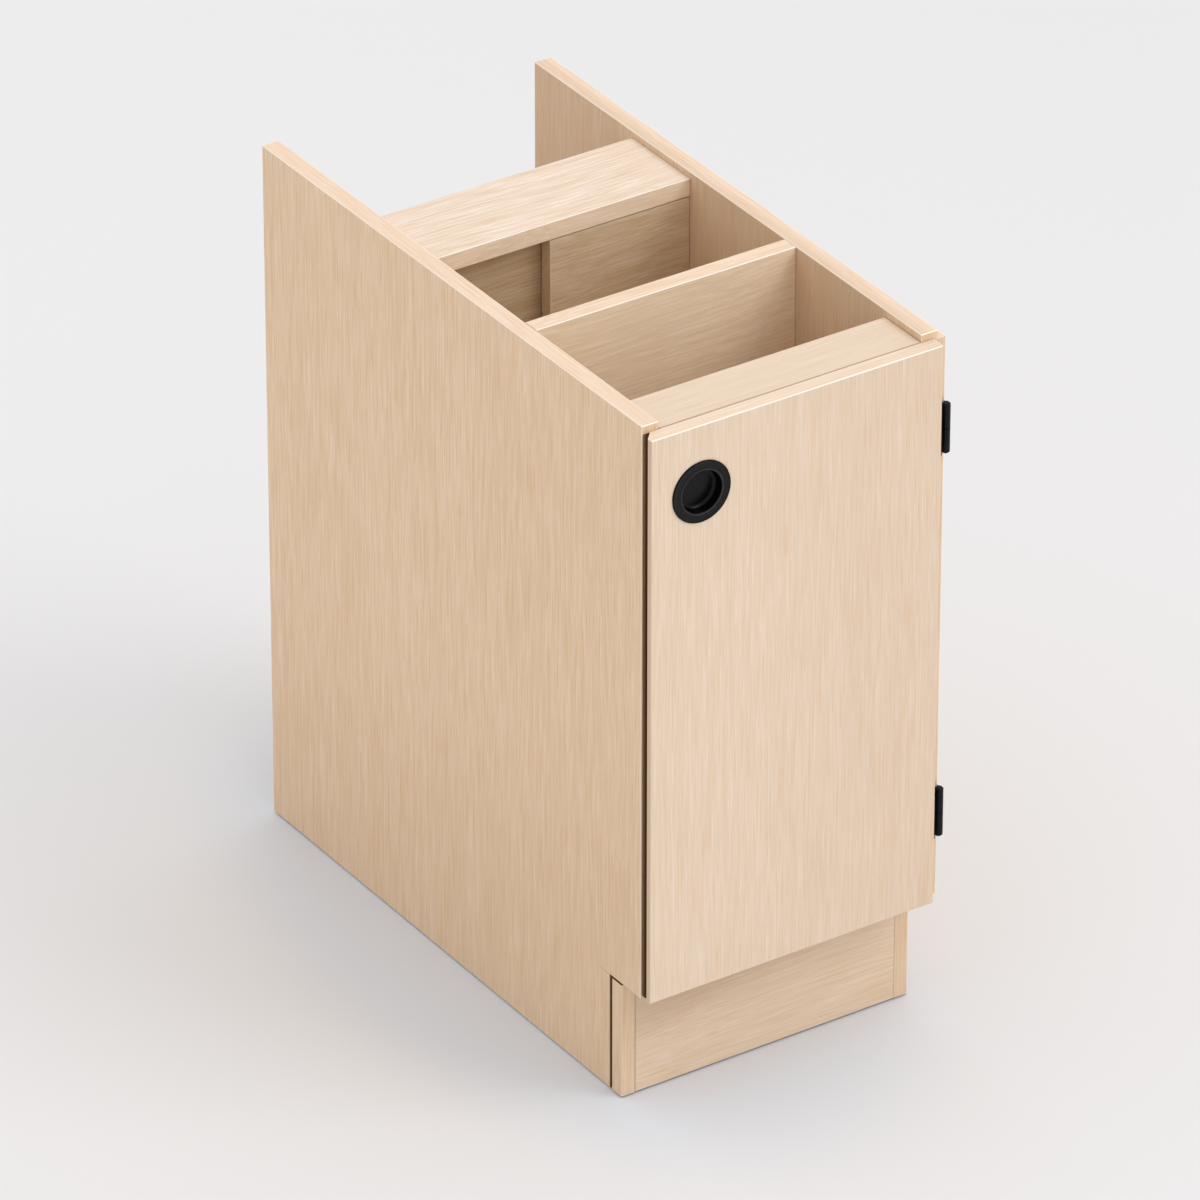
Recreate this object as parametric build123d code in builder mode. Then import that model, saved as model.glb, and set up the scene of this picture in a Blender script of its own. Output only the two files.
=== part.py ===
from build123d import *
import os

# Driving dimensions, all in millimetres

# Cabinet shell
cabinet_width = 384.0
cabinet_height = 870.0
side_depth = 760.0
side_thickness = 22.0
edge_radius = 1.0
toe_height = 150.0
toe_depth = 60.0

# Boards between the two sides
front_rail_width = 68.0
front_rail_thickness = 22.0
front_rail_drop = 8.5
rear_rail_setback = 445.0
rear_rail_width = 116.0
rear_rail_thickness = 22.0
rear_rail_drop = 8.0
bearer_setback = 238.0
bearer_thickness = 22.0
bearer_height = 180.0
bottom_thickness = 22.0
bottom_rear_margin = 12.0
plinth_rail_thickness = 18.0
plinth_rail_floor_gap = 20.0

# Kick board, its two returns and the cleats behind it
kick_setback = 37.0
kick_thickness = 18.0
kick_return_width = 18.0
kick_return_depth = 19.0
kick_top_gap = 2.5
kick_end_gap = 0.2
cleat_width = 30.0
cleat_depth = 30.0
cleat_height = 110.0

# Hinge batten on the outside of the right side
batten_thickness = 10.5
batten_depth = 40.0
batten_drop = 10.5

# Door
door_thickness = 18.0
door_gap = 1.0
door_left_margin = 0.0
door_right_margin = 6.0
door_top_drop = 9.0
door_bottom_lift = 3.0
door_edge_radius = 1.5
closing_bevel_width = 10.0
closing_bevel_depth = 11.0

# Seal on the left side's front edge, in the wedge behind the door's bevel
seal_inset = 2.0
seal_width = 7.0
seal_door_gap = 1.2
seal_end_gap = 1.0
seal_crest_round = 1.0
seal_heel_round = 0.3

# Round flush pull
pull_from_left = 64.0
pull_from_top = 81.0
pull_rim_radius = 37.5
pull_rim_proud = 2.0
pull_rim_round = 1.2
pull_rim_dish = 0.7
pull_lip_round = 0.5
pull_mouth_radius = 25.5
pull_recess_depth = 11.0
pull_recess_round = 3.0
pull_wall = 1.5

# Lift-off butt hinges
hinge_length = 62.0
hinge_barrel_radius = 5.0
hinge_pin_radius = 2.5
hinge_leaf_thickness = 1.5
hinge_leaf_width = 32.0
hinge_leaf_corner = 2.0
hinge_from_top = 110.0
hinge_from_bottom = 110.0
hinge_axis_forward = 8.0
hinge_leaf_setback = 4.0
hinge_end_chamfer = 1.6
hinge_screw_spacing = 21.0
hinge_screw_setback = 11.0
hinge_screw_stagger = 9.5
door_leaf_margin = 1.5
knuckle_clearance = 0.4
washer_thickness = 0.8
washer_inset = 1.0
washer_gap = 0.15
pin_running_gap = 0.05
pin_seat_gap = 0.02
pin_reach = 20.0
pin_head_room = 3.0

# Adjustable shelf and the line-bored holes
shelf_thickness = 18.0
shelf_side_gap = 2.0
shelf_front_setback = 12.0
shelf_rear_gap = 20.0
line_bore_radius = 2.5
line_bore_depth = 12.0
line_bore_pitch = 32.0
line_bore_count = 10
line_bore_first = 270.0
line_bore_front = 49.0
line_bore_rear = 380.0
shelf_pin_height = 430.0
shelf_pin_peg = 9.0
shelf_pin_collar_radius = 4.0
shelf_pin_collar = 1.2

# By-pass sliding back panels and their tracks
panel_thickness = 18.0
panel_spacing = 3.0
panel_overlap = 30.0
panel_end_gap = 0.5
panel_top_gap = 1.0
panel_bottom_gap = 1.0
tongue_thickness = 6.0
tongue_top_height = 7.0
groove_depth = 13.0
groove_side_gap = 0.5
liner_wall = 1.5
liner_depth = 8.0
liner_floor_gap = 0.3
finger_recess_radius = 12.5
finger_recess_depth = 9.0
finger_recess_inset = 45.0
finger_recess_from_top = 343.0

# Magnetic catch under the front rail and its strike
catch_from_left = 60.0
catch_length = 58.0
catch_depth = 16.0
catch_height = 14.0
catch_screw_inset = 5.5
magnet_length = 36.0
magnet_height = 8.0
magnet_depth = 13.0
magnet_gap = 0.3
strike_length = 40.0
strike_height = 14.0
strike_thickness = 1.2

# Knock-down fittings: cam locks, cam bolts and dowels
cam_setback = 34.0
cam_radius = 7.5
cam_depth = 13.0
cam_bolt_radius = 2.5
cam_bolt_seat = 11.0
cam_shank_radius = 3.0
cam_head_radius = 3.6
cam_head_length = 4.0
dowel_radius = 4.0
dowel_seat = 11.0
dowel_reach = 22.0
dowel_chamfer = 0.8

# Screws
screw_radius = 1.75
screw_head_radius = 3.4
screw_head_height = 2.2
screw_recess_width = 1.0
screw_recess_length = 4.2
screw_recess_depth = 1.4
screw_bite = 9.0
edge_screw_bite = 23.0
batten_screw_bite = 7.0

# Bumpers and glides
bumper_radius = 5.0
bumper_gap = 0.3
bumper_inset = 15.6
bumper_end_margin = 40.0
glide_radius = 8.5
glide_proud = 2.0
glide_stem_radius = 4.0
glide_stem = 4.0
glide_inset = 25.0

# Clearance round every fitting that sits in a hole or a seat
fit_gap = 0.1

# Reference planes worked out from the driving dimensions.
# The origin is the middle of the footprint, on the floor.

overall_width = cabinet_width + batten_thickness + hinge_leaf_thickness
overall_depth = side_depth + door_gap + door_thickness + pull_rim_proud
left_x = -overall_width / 2
right_x = left_x + cabinet_width
inner_left = left_x + side_thickness
inner_right = right_x - side_thickness
front_y = -overall_depth / 2 + door_gap + door_thickness + pull_rim_proud
back_y = front_y + side_depth
notch_y = front_y + toe_depth
side_bottom = glide_proud

front_rail_top = cabinet_height - front_rail_drop
front_rail_bottom = front_rail_top - front_rail_thickness
front_rail_back = front_y + front_rail_width
rear_rail_front = front_y + rear_rail_setback
rear_rail_back = rear_rail_front + rear_rail_width
rear_rail_top = cabinet_height - rear_rail_drop
rear_rail_bottom = rear_rail_top - rear_rail_thickness
bearer_front = front_y + bearer_setback
bearer_back = bearer_front + bearer_thickness
bearer_bottom = cabinet_height - bearer_height
bottom_top = toe_height + bottom_thickness

right_panel_front = rear_rail_front
left_panel_front = right_panel_front + panel_thickness + panel_spacing
bottom_back = left_panel_front + panel_thickness + bottom_rear_margin
plinth_rail_front = bottom_back - plinth_rail_thickness
liner_floor = bottom_top - liner_depth + liner_wall

kick_front = front_y + kick_setback
kick_back = kick_front + kick_thickness
kick_top = toe_height - kick_top_gap
kick_left = left_x + kick_return_width + kick_end_gap
kick_right = right_x - kick_return_width - kick_end_gap
cleat_top = kick_top
cleat_bottom = cleat_top - cleat_height
cleat_back = kick_back + cleat_depth

door_left = left_x + door_left_margin
door_right = right_x - door_right_margin
door_back = front_y - door_gap
door_front = door_back - door_thickness
door_top = cabinet_height - door_top_drop
door_bottom = toe_height + door_bottom_lift

batten_outer = right_x + batten_thickness
batten_top = cabinet_height - batten_drop
leaf_outer = batten_outer + hinge_leaf_thickness
hinge_x = leaf_outer - hinge_barrel_radius
hinge_y = front_y - hinge_axis_forward
hinge_heights = [door_bottom + hinge_from_bottom, door_top - hinge_from_top]
door_leaf_outer = door_right + hinge_leaf_thickness
door_leaf_front = door_front + door_leaf_margin
flange_back = hinge_y + hinge_barrel_radius
flange_front = flange_back - hinge_leaf_thickness

pull_x = door_left + pull_from_left
pull_z = door_top - pull_from_top
pull_cup_radius = pull_mouth_radius + pull_wall
catch_x = inner_left + catch_from_left
catch_z = front_rail_bottom - catch_height / 2

line_bore_rows = [line_bore_first + line_bore_pitch * row for row in range(line_bore_count)]
line_bore_columns = [front_y + line_bore_front, front_y + line_bore_rear]
shelf_pin_z = min(line_bore_rows, key=lambda height: abs(height - shelf_pin_height))
shelf_bottom = shelf_pin_z + line_bore_radius
shelf_back = rear_rail_front - shelf_rear_gap

rightward = (1, 0, 0)
leftward = (-1, 0, 0)
backward = (0, 1, 0)
forward = (0, -1, 0)
upward = (0, 0, 1)
downward = (0, 0, -1)
board_ends = [(inner_left, 1), (inner_right, -1)]


def middle(low, high, share=0.5):
    """The place that lies at a share of the way from low to high."""
    return low + (high - low) * share


# Joints between the boards and the sides.
# A cam joint is (y, z, direction from the bolt to the cam's open face, distance to that face).

rail_cams_start = left_panel_front + panel_thickness
front_rail_z = middle(front_rail_bottom, front_rail_top)
rear_rail_z = middle(rear_rail_bottom, rear_rail_top)
bearer_y = middle(bearer_front, bearer_back)
bottom_z = middle(toe_height, bottom_top)
plinth_rail_y = middle(plinth_rail_front, bottom_back)
plinth_rail_z = middle(plinth_rail_floor_gap, toe_height)

cam_joints = {
    "front_rail": [
        (middle(front_y, front_rail_back), front_rail_z, downward, front_rail_thickness / 2)
    ],
    "rear_rail": [
        (middle(rail_cams_start, rear_rail_back, 0.75), rear_rail_z, downward, rear_rail_thickness / 2)
    ],
    "bearer": [
        (bearer_y, middle(bearer_bottom, cabinet_height, share), backward, bearer_thickness / 2)
        for share in (0.2, 0.8)
    ],
    "bottom": [
        (middle(notch_y, bottom_back, share), bottom_z, downward, bottom_thickness / 2)
        for share in (0.1, 0.8)
    ],
    "plinth_rail": [(plinth_rail_y, plinth_rail_z, forward, plinth_rail_thickness / 2)],
}
dowel_joints = {
    "front_rail": [(middle(front_y, front_rail_back, share), front_rail_z) for share in (0.15, 0.85)],
    "rear_rail": [(middle(rail_cams_start, rear_rail_back, 0.25), rear_rail_z)],
    "bearer": [(bearer_y, middle(bearer_bottom, cabinet_height))],
    "bottom": [(middle(notch_y, bottom_back, share), bottom_z) for share in (0.02, 0.45, 0.7)],
    "plinth_rail": [
        (plinth_rail_y, middle(plinth_rail_floor_gap, toe_height, share)) for share in (0.2, 0.8)
    ],
}
all_cam_joints = [joint for joints in cam_joints.values() for joint in joints]
all_dowel_joints = [joint for joints in dowel_joints.values() for joint in joints]

# Screws: the middle of each head, and the length below it

batten_screw_heads = [
    (inner_right, front_y + batten_depth / 2, middle(toe_height, batten_top, share))
    for share in (0.06, 0.35, 0.65, 0.94)
]
batten_screw_length = side_thickness + batten_screw_bite


def hinge_screw_heights(centre):
    """The heights of the three screws in one hinge leaf."""
    return [centre - hinge_screw_spacing, centre, centre + hinge_screw_spacing]


fixed_leaf_screws = [
    (leaf_outer, front_y + hinge_screw_setback + stagger, z)
    for centre in hinge_heights
    for z, stagger in zip(hinge_screw_heights(centre), (0, hinge_screw_stagger, 0))
]
fixed_leaf_screw_length = hinge_leaf_thickness + batten_thickness + screw_bite
door_leaf_screws = [
    (door_leaf_outer, middle(door_leaf_front, flange_front), z)
    for centre in hinge_heights
    for z in hinge_screw_heights(centre)
]
door_leaf_screw_length = hinge_leaf_thickness + edge_screw_bite

cleat_screw_heights = [middle(cleat_bottom, cleat_top, share) for share in (0.2, 0.7)]
cleat_screw_length = cleat_width + screw_bite
kick_screw_heads = [
    (end + inward * cleat_width / 2, cleat_back, middle(cleat_bottom, cleat_top, share))
    for end, inward in board_ends
    for share in (0.35, 0.85)
]
kick_screw_length = cleat_depth + screw_bite

catch_screw_heads = [
    (catch_x + side * (catch_length / 2 - catch_screw_inset), front_y + catch_depth / 2,
     front_rail_bottom - catch_height)
    for side in (-1, 1)
]
catch_screw_length = catch_height + screw_bite
strike_screw_head = [(catch_x, door_back, catch_z)]
strike_screw_length = strike_thickness + screw_bite

glide_places = [notch_y + glide_inset, back_y - glide_inset]


# Shared shapes

def board(left, right, front, back, bottom, top, mode=Mode.ADD):
    """A plain block between six planes, added to the part in hand or cut from it."""
    with Locations((middle(left, right), middle(front, back), middle(bottom, top))):
        Box(right - left, back - front, top - bottom, mode=mode)


def planes_facing(points, direction):
    """Planes at the points, whose +Z runs along the direction."""
    return [Plane(origin=point, z_dir=direction) for point in points]


def opposite(direction):
    """The direction turned round."""
    return tuple(-part for part in direction)


def bore(points, direction, radius, depth):
    """Blind holes whose mouths are at the points and which run along the direction."""
    with Locations(*planes_facing(points, opposite(direction))):
        Hole(radius, depth)


def rods(points, direction, radius, length):
    """Solid rods that start at the points and run along the direction."""
    with Locations(*planes_facing(points, direction)):
        Cylinder(radius, length, align=(Align.CENTER, Align.CENTER, Align.MIN))


def cross_recess(length, width, depth):
    """A cross-shaped driver recess, cut where the part in hand has its locations."""
    for angle in (0, 90):
        Box(
            length,
            width,
            depth,
            rotation=(0, 0, angle),
            align=(Align.CENTER, Align.CENTER, Align.MIN),
            mode=Mode.SUBTRACT,
        )


def countersunk_screws(points, direction, length):
    """Screws whose flat heads lie at the points and whose shanks run along the direction."""
    with Locations(*planes_facing(points, direction)):
        Cone(
            screw_head_radius,
            screw_radius,
            screw_head_height,
            align=(Align.CENTER, Align.CENTER, Align.MIN),
        )
        Cylinder(screw_radius, length, align=(Align.CENTER, Align.CENTER, Align.MIN))
        cross_recess(screw_recess_length, screw_recess_width, screw_recess_depth)


def screw_seats(points, direction, length):
    """Holes with countersunk mouths for the screws above."""
    with Locations(*planes_facing(points, direction)):
        Cone(
            screw_head_radius + fit_gap,
            screw_radius + fit_gap,
            screw_head_height + fit_gap,
            align=(Align.CENTER, Align.CENTER, Align.MIN),
            mode=Mode.SUBTRACT,
        )
    bore(points, direction, screw_radius + fit_gap, length + fit_gap)


def cam_mouth(x, joint):
    """The centre of a cam's open face."""
    y, z, opening, reach = joint
    return (x, y + opening[1] * reach, z + opening[2] * reach)


def cut_board_joints(name):
    """The cam bores, bolt bores and dowel bores in both ends of one board."""
    for end, inward in board_ends:
        for joint in cam_joints[name]:
            y, z, opening, reach = joint
            mouth = cam_mouth(end + inward * cam_setback, joint)
            bore([mouth], opposite(opening), cam_radius + fit_gap, cam_depth + fit_gap)
            bore([(end, y, z)], (inward, 0, 0), cam_head_radius + fit_gap, cam_setback)
        spots = [(end, y, z) for y, z in dowel_joints[name]]
        bore(spots, (inward, 0, 0), dowel_radius + fit_gap, dowel_reach + fit_gap)


def finish(part, name):
    """Names a finished piece and writes it."""
    part.label = name
    export_step(part, f"parts/{name}.step")


os.makedirs("parts", exist_ok=True)


# The two full-height sides

def make_side(outer_x, inward):
    """One side board with its toe notch, line-bored holes and joint bores."""
    inner_x = outer_x + inward * side_thickness
    outward = (-inward, 0, 0)
    with BuildPart() as side:
        with BuildSketch(Plane.YZ.offset(outer_x)):
            with BuildLine():
                Polyline(
                    (front_y, toe_height),
                    (front_y, cabinet_height),
                    (back_y, cabinet_height),
                    (back_y, side_bottom),
                    (notch_y, side_bottom),
                    (notch_y, toe_height),
                    close=True,
                )
            make_face()
        extrude(amount=inward * side_thickness)
        fillet(side.edges(), edge_radius)
        rows = [(inner_x, y, z) for y in line_bore_columns for z in line_bore_rows]
        bore(rows, outward, line_bore_radius + pin_seat_gap, line_bore_depth)
        cams = [(inner_x, y, z) for y, z, opening, reach in all_cam_joints]
        bore(cams, outward, cam_bolt_radius + fit_gap, cam_bolt_seat + fit_gap)
        dowels = [(inner_x, y, z) for y, z in all_dowel_joints]
        bore(dowels, outward, dowel_radius + fit_gap, dowel_seat + fit_gap)
        cleats = [(inner_x, middle(kick_back, cleat_back), z) for z in cleat_screw_heights]
        bore(cleats, outward, screw_radius + fit_gap, screw_bite + fit_gap)
        glides = [(middle(outer_x, inner_x), y, side_bottom) for y in glide_places]
        bore(glides, upward, glide_stem_radius + fit_gap, glide_stem + fit_gap)
    return side


left_side = make_side(left_x, 1)
finish(left_side.part, "left_side")

with BuildPart() as right_side:
    add(make_side(right_x, -1).part)
    screw_seats(batten_screw_heads, rightward, batten_screw_length)
    bore(fixed_leaf_screws, leftward, screw_radius + fit_gap, fixed_leaf_screw_length + fit_gap)
finish(right_side.part, "right_side")


# Boards between the sides

with BuildPart() as front_rail:
    board(inner_left, inner_right, front_y, front_rail_back, front_rail_bottom, front_rail_top)
    fillet(front_rail.edges().filter_by(Axis.X), edge_radius)
    cut_board_joints("front_rail")
    bore(catch_screw_heads, upward, screw_radius + fit_gap, catch_screw_length + fit_gap)
finish(front_rail.part, "front_rail")

with BuildPart() as cross_bearer:
    board(inner_left, inner_right, bearer_front, bearer_back, bearer_bottom, cabinet_height)
    fillet(cross_bearer.edges().filter_by(Axis.X), edge_radius)
    cut_board_joints("bearer")
finish(cross_bearer.part, "cross_bearer")


def groove_planes(panel_front):
    """Front and back plane of the groove that guides one back panel."""
    tongue_front = panel_front + (panel_thickness - tongue_thickness) / 2
    return tongue_front - groove_side_gap, tongue_front + tongue_thickness + groove_side_gap


guide_grooves = [groove_planes(right_panel_front), groove_planes(left_panel_front)]

with BuildPart() as rear_rail:
    board(inner_left, inner_right, rear_rail_front, rear_rail_back, rear_rail_bottom, rear_rail_top)
    fillet(rear_rail.edges().filter_by(Axis.X), edge_radius)
    for front, back in guide_grooves:
        groove_top = rear_rail_bottom + groove_depth
        board(inner_left, inner_right, front, back, rear_rail_bottom, groove_top, Mode.SUBTRACT)
    cut_board_joints("rear_rail")
finish(rear_rail.part, "rear_rail")

with BuildPart() as bottom_board:
    board(inner_left, inner_right, front_y, bottom_back, toe_height, bottom_top)
    fillet(bottom_board.edges().filter_by(Axis.X), edge_radius)
    for front, back in guide_grooves:
        seat_front = front - liner_wall - fit_gap
        seat_back = back + liner_wall + fit_gap
        seat_floor = bottom_top - liner_depth
        board(inner_left, inner_right, seat_front, seat_back, seat_floor, bottom_top, Mode.SUBTRACT)
    cut_board_joints("bottom")
finish(bottom_board.part, "bottom_board")

with BuildPart() as plinth_rail:
    board(inner_left, inner_right, plinth_rail_front, bottom_back, plinth_rail_floor_gap, toe_height)
    fillet(plinth_rail.edges().filter_by(Axis.X).sort_by(Axis.Z)[:2], edge_radius)
    cut_board_joints("plinth_rail")
finish(plinth_rail.part, "rear_plinth_rail")


# Cams, cam bolts and dowels

def make_cam(reach):
    """One cam, mouth at the origin, whose bolt comes in along +X at the given depth."""
    with BuildPart() as cam:
        Cylinder(cam_radius, cam_depth, align=(Align.CENTER, Align.CENTER, Align.MIN))
        bore([(-cam_radius, 0, reach)], rightward, cam_head_radius + fit_gap, cam_radius + fit_gap)
        cross_recess(cam_radius, screw_recess_width, screw_recess_depth)
    return cam


cam_shapes = {reach: make_cam(reach) for y, z, opening, reach in all_cam_joints}

with BuildPart() as cam_locks:
    for end, inward in board_ends:
        for joint in all_cam_joints:
            y, z, opening, reach = joint
            mouth = cam_mouth(end + inward * cam_setback, joint)
            with Locations(Plane(origin=mouth, x_dir=(inward, 0, 0), z_dir=opposite(opening))):
                add(cam_shapes[reach].part)
finish(cam_locks.part, "cam_locks")

with BuildPart() as cam_bolts:
    for end, inward in board_ends:
        spots = [(end, y, z) for y, z, opening, reach in all_cam_joints]
        heads = [(end + inward * (cam_setback - cam_head_length), y, z) for x, y, z in spots]
        rods(spots, (-inward, 0, 0), cam_bolt_radius, cam_bolt_seat)
        rods(spots, (inward, 0, 0), cam_shank_radius, cam_setback - cam_head_length)
        rods(heads, (inward, 0, 0), cam_head_radius, cam_head_length)
finish(cam_bolts.part, "cam_bolts")

with BuildPart() as dowels:
    for end, inward in board_ends:
        starts = [(end - inward * dowel_seat, y, z) for y, z in all_dowel_joints]
        rods(starts, (inward, 0, 0), dowel_radius, dowel_seat + dowel_reach)
    chamfer(dowels.edges().filter_by(GeomType.CIRCLE), dowel_chamfer)
finish(dowels.part, "joint_dowels")


# Kick board, its returns, its cleats and their screws

with BuildPart() as kick_board:
    board(kick_left, kick_right, kick_front, kick_back, side_bottom, kick_top)
    fillet(kick_board.edges().filter_by(Axis.X), edge_radius)
    bore(kick_screw_heads, forward, screw_radius + fit_gap, kick_screw_length + fit_gap)
finish(kick_board.part, "kick_board")


def make_kick_return(outer_x, inward):
    """The hardwood strip that closes one end of the kick board."""
    low, high = sorted((outer_x, outer_x + inward * kick_return_width))
    with BuildPart() as strip:
        board(low, high, kick_front, kick_front + kick_return_depth, side_bottom, kick_top)
        fillet(strip.edges().filter_by(Axis.Z), edge_radius)
    return strip


finish(make_kick_return(left_x, 1).part, "left_kick_return")
finish(make_kick_return(right_x, -1).part, "right_kick_return")


def cleat_screw_heads(end, inward):
    """The heads of the screws that hold one cleat to its side."""
    x = end + inward * cleat_width
    return [(x, middle(kick_back, cleat_back), z) for z in cleat_screw_heights]


with BuildPart() as kick_cleats:
    for end, inward in board_ends:
        low, high = sorted((end, end + inward * cleat_width))
        board(low, high, kick_back, cleat_back, cleat_bottom, cleat_top)
    chamfer(kick_cleats.edges().filter_by(Axis.Z), edge_radius)
    screw_seats(kick_screw_heads, forward, kick_screw_length)
    for end, inward in board_ends:
        screw_seats(cleat_screw_heads(end, inward), (-inward, 0, 0), cleat_screw_length)
finish(kick_cleats.part, "kick_cleats")

with BuildPart() as kick_screws:
    countersunk_screws(kick_screw_heads, forward, kick_screw_length)
finish(kick_screws.part, "kick_screws")

with BuildPart() as cleat_screws:
    for end, inward in board_ends:
        countersunk_screws(cleat_screw_heads(end, inward), (-inward, 0, 0), cleat_screw_length)
finish(cleat_screws.part, "cleat_screws")


# Glides under the sides

with BuildPart() as floor_glides:
    for outer_x, inward in ((left_x, 1), (right_x, -1)):
        feet = [(outer_x + inward * side_thickness / 2, y, 0) for y in glide_places]
        rods(feet, upward, glide_radius, glide_proud)
        rods(feet, upward, glide_stem_radius, glide_proud + glide_stem)
finish(floor_glides.part, "floor_glides")


# Hinge batten and its screws

with BuildPart() as hinge_batten:
    board(right_x, batten_outer, front_y, front_y + batten_depth, toe_height, batten_top)
    fillet(hinge_batten.edges().filter_by(Axis.Z).sort_by(Axis.X)[2:], edge_radius)
    bore(batten_screw_heads, rightward, screw_radius + fit_gap, batten_screw_length + fit_gap)
    screw_seats(fixed_leaf_screws, leftward, fixed_leaf_screw_length)
finish(hinge_batten.part, "hinge_batten")

with BuildPart() as batten_screws:
    countersunk_screws(batten_screw_heads, rightward, batten_screw_length)
finish(batten_screws.part, "batten_screws")


# Lift-off hinges: the fixed leaf and its pin are below, the door's leaf drops on from above

def fixed_knuckle_top(centre):
    """The height at which the fixed knuckle ends and the washer starts."""
    return centre - washer_thickness / 2


def door_knuckle_bottom(centre):
    """The height at which the door's knuckle starts, just clear of the washer."""
    return centre + washer_thickness / 2 + washer_gap


def make_fixed_leaf(centre):
    """The leaf on the batten, with the lower knuckle and the seat of the pin."""
    bottom = centre - hinge_length / 2
    top = centre + hinge_length / 2
    leaf_bottom, leaf_top = bottom + hinge_leaf_setback, top - hinge_leaf_setback
    knuckle_top = fixed_knuckle_top(centre)
    leaf_back = front_y + hinge_leaf_width
    swept_radius = hinge_barrel_radius + knuckle_clearance
    relief = (swept_radius**2 - (batten_outer - hinge_x) ** 2) ** 0.5
    with BuildPart() as leaf:
        rods([(hinge_x, hinge_y, bottom)], upward, hinge_barrel_radius, knuckle_top - bottom)
        chamfer(leaf.edges().filter_by(GeomType.CIRCLE).sort_by(Axis.Z)[:1], hinge_end_chamfer)
        board(batten_outer, leaf_outer, hinge_y, leaf_back, leaf_bottom, knuckle_top)
        board(batten_outer, leaf_outer, hinge_y + relief, leaf_back, knuckle_top, leaf_top)
        rear_corners = leaf.edges().filter_by(Axis.X).group_by(Axis.Y)[-1]
        fillet(rear_corners, hinge_leaf_corner)
        bore([(hinge_x, hinge_y, knuckle_top)], downward, hinge_pin_radius + pin_seat_gap, pin_reach)
        own_screws = [screw for screw in fixed_leaf_screws if abs(screw[2] - centre) < hinge_length]
        screw_seats(own_screws, leftward, hinge_leaf_thickness)
    return leaf


def make_door_leaf(centre):
    """The leaf on the door's edge, with the upper knuckle and the blind bore for the pin."""
    bottom = centre - hinge_length / 2
    top = centre + hinge_length / 2
    leaf_bottom, leaf_top = bottom + hinge_leaf_setback, top - hinge_leaf_setback
    knuckle_bottom = door_knuckle_bottom(centre)
    bore_depth = centre + pin_reach + pin_head_room - knuckle_bottom
    with BuildPart() as leaf:
        rods([(hinge_x, hinge_y, knuckle_bottom)], upward, hinge_barrel_radius, top - knuckle_bottom)
        chamfer(leaf.edges().filter_by(GeomType.CIRCLE).sort_by(Axis.Z)[-1:], hinge_end_chamfer)
        board(door_right, hinge_x, flange_front, flange_back, knuckle_bottom, leaf_top)
        board(door_right, door_leaf_outer, door_leaf_front, flange_back, leaf_bottom, leaf_top)
        foot = [(hinge_x, hinge_y, knuckle_bottom)]
        bore(foot, upward, hinge_pin_radius + pin_running_gap, bore_depth)
        own_screws = [screw for screw in door_leaf_screws if abs(screw[2] - centre) < hinge_length]
        screw_seats(own_screws, leftward, hinge_leaf_thickness)
    return leaf


for place, centre in zip(("lower", "upper"), hinge_heights):
    finish(make_fixed_leaf(centre).part, f"{place}_fixed_hinge_leaf")
    finish(make_door_leaf(centre).part, f"{place}_door_hinge_leaf")
    pin_bottom = centre - washer_thickness / 2 - pin_reach
    with BuildPart() as hinge_pin:
        rods([(hinge_x, hinge_y, pin_bottom)], upward, hinge_pin_radius, centre + pin_reach - pin_bottom)
        chamfer(hinge_pin.edges().filter_by(GeomType.CIRCLE).sort_by(Axis.Z)[-1:], hinge_end_chamfer)
    finish(hinge_pin.part, f"{place}_hinge_pin")

with BuildPart() as knuckle_washers:
    for centre in hinge_heights:
        with Locations((hinge_x, hinge_y, centre)):
            Cylinder(hinge_barrel_radius - washer_inset, washer_thickness)
            Hole(hinge_pin_radius + pin_running_gap)
finish(knuckle_washers.part, "knuckle_washers")

with BuildPart() as fixed_leaf_screw_set:
    countersunk_screws(fixed_leaf_screws, leftward, fixed_leaf_screw_length)
finish(fixed_leaf_screw_set.part, "fixed_leaf_screws")

with BuildPart() as door_leaf_screw_set:
    countersunk_screws(door_leaf_screws, leftward, door_leaf_screw_length)
finish(door_leaf_screw_set.part, "door_leaf_screws")


# Door

with BuildPart() as door_panel:
    board(door_left, door_right, door_front, door_back, door_bottom, door_top)
    fillet(door_panel.faces().sort_by(Axis.Y)[0].edges(), door_edge_radius)
    with BuildSketch(Plane.XY.offset(door_bottom)):
        with BuildLine():
            Polyline(
                (door_left, door_back),
                (door_left, door_back - closing_bevel_depth),
                (door_left + closing_bevel_width, door_back),
                close=True,
            )
        make_face()
    extrude(amount=door_top - door_bottom, mode=Mode.SUBTRACT)
    cup_depth = pull_recess_depth + pull_wall
    bore([(pull_x, door_front, pull_z)], backward, pull_cup_radius + fit_gap, cup_depth + fit_gap)
    board(
        catch_x - strike_length / 2 - fit_gap,
        catch_x + strike_length / 2 + fit_gap,
        door_back - strike_thickness,
        door_back,
        catch_z - strike_height / 2 - fit_gap,
        catch_z + strike_height / 2 + fit_gap,
        Mode.SUBTRACT,
    )
    screw_seats(strike_screw_head, forward, strike_screw_length)
    screw_seats(door_leaf_screws, leftward, door_leaf_screw_length)
finish(door_panel.part, "door_panel")


# Seal behind the door's bevel, on the front edge of the left side

def bevel_depth_at(inset):
    """How far in front of the door's back the bevel lies, at a distance from the door's left."""
    return closing_bevel_depth * (1 - inset / closing_bevel_width)


seal_left = door_left + seal_inset
seal_right = seal_left + seal_width
seal_crest = door_back - bevel_depth_at(seal_inset) + seal_door_gap
seal_heel = door_back - bevel_depth_at(seal_inset + seal_width) + seal_door_gap

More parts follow.
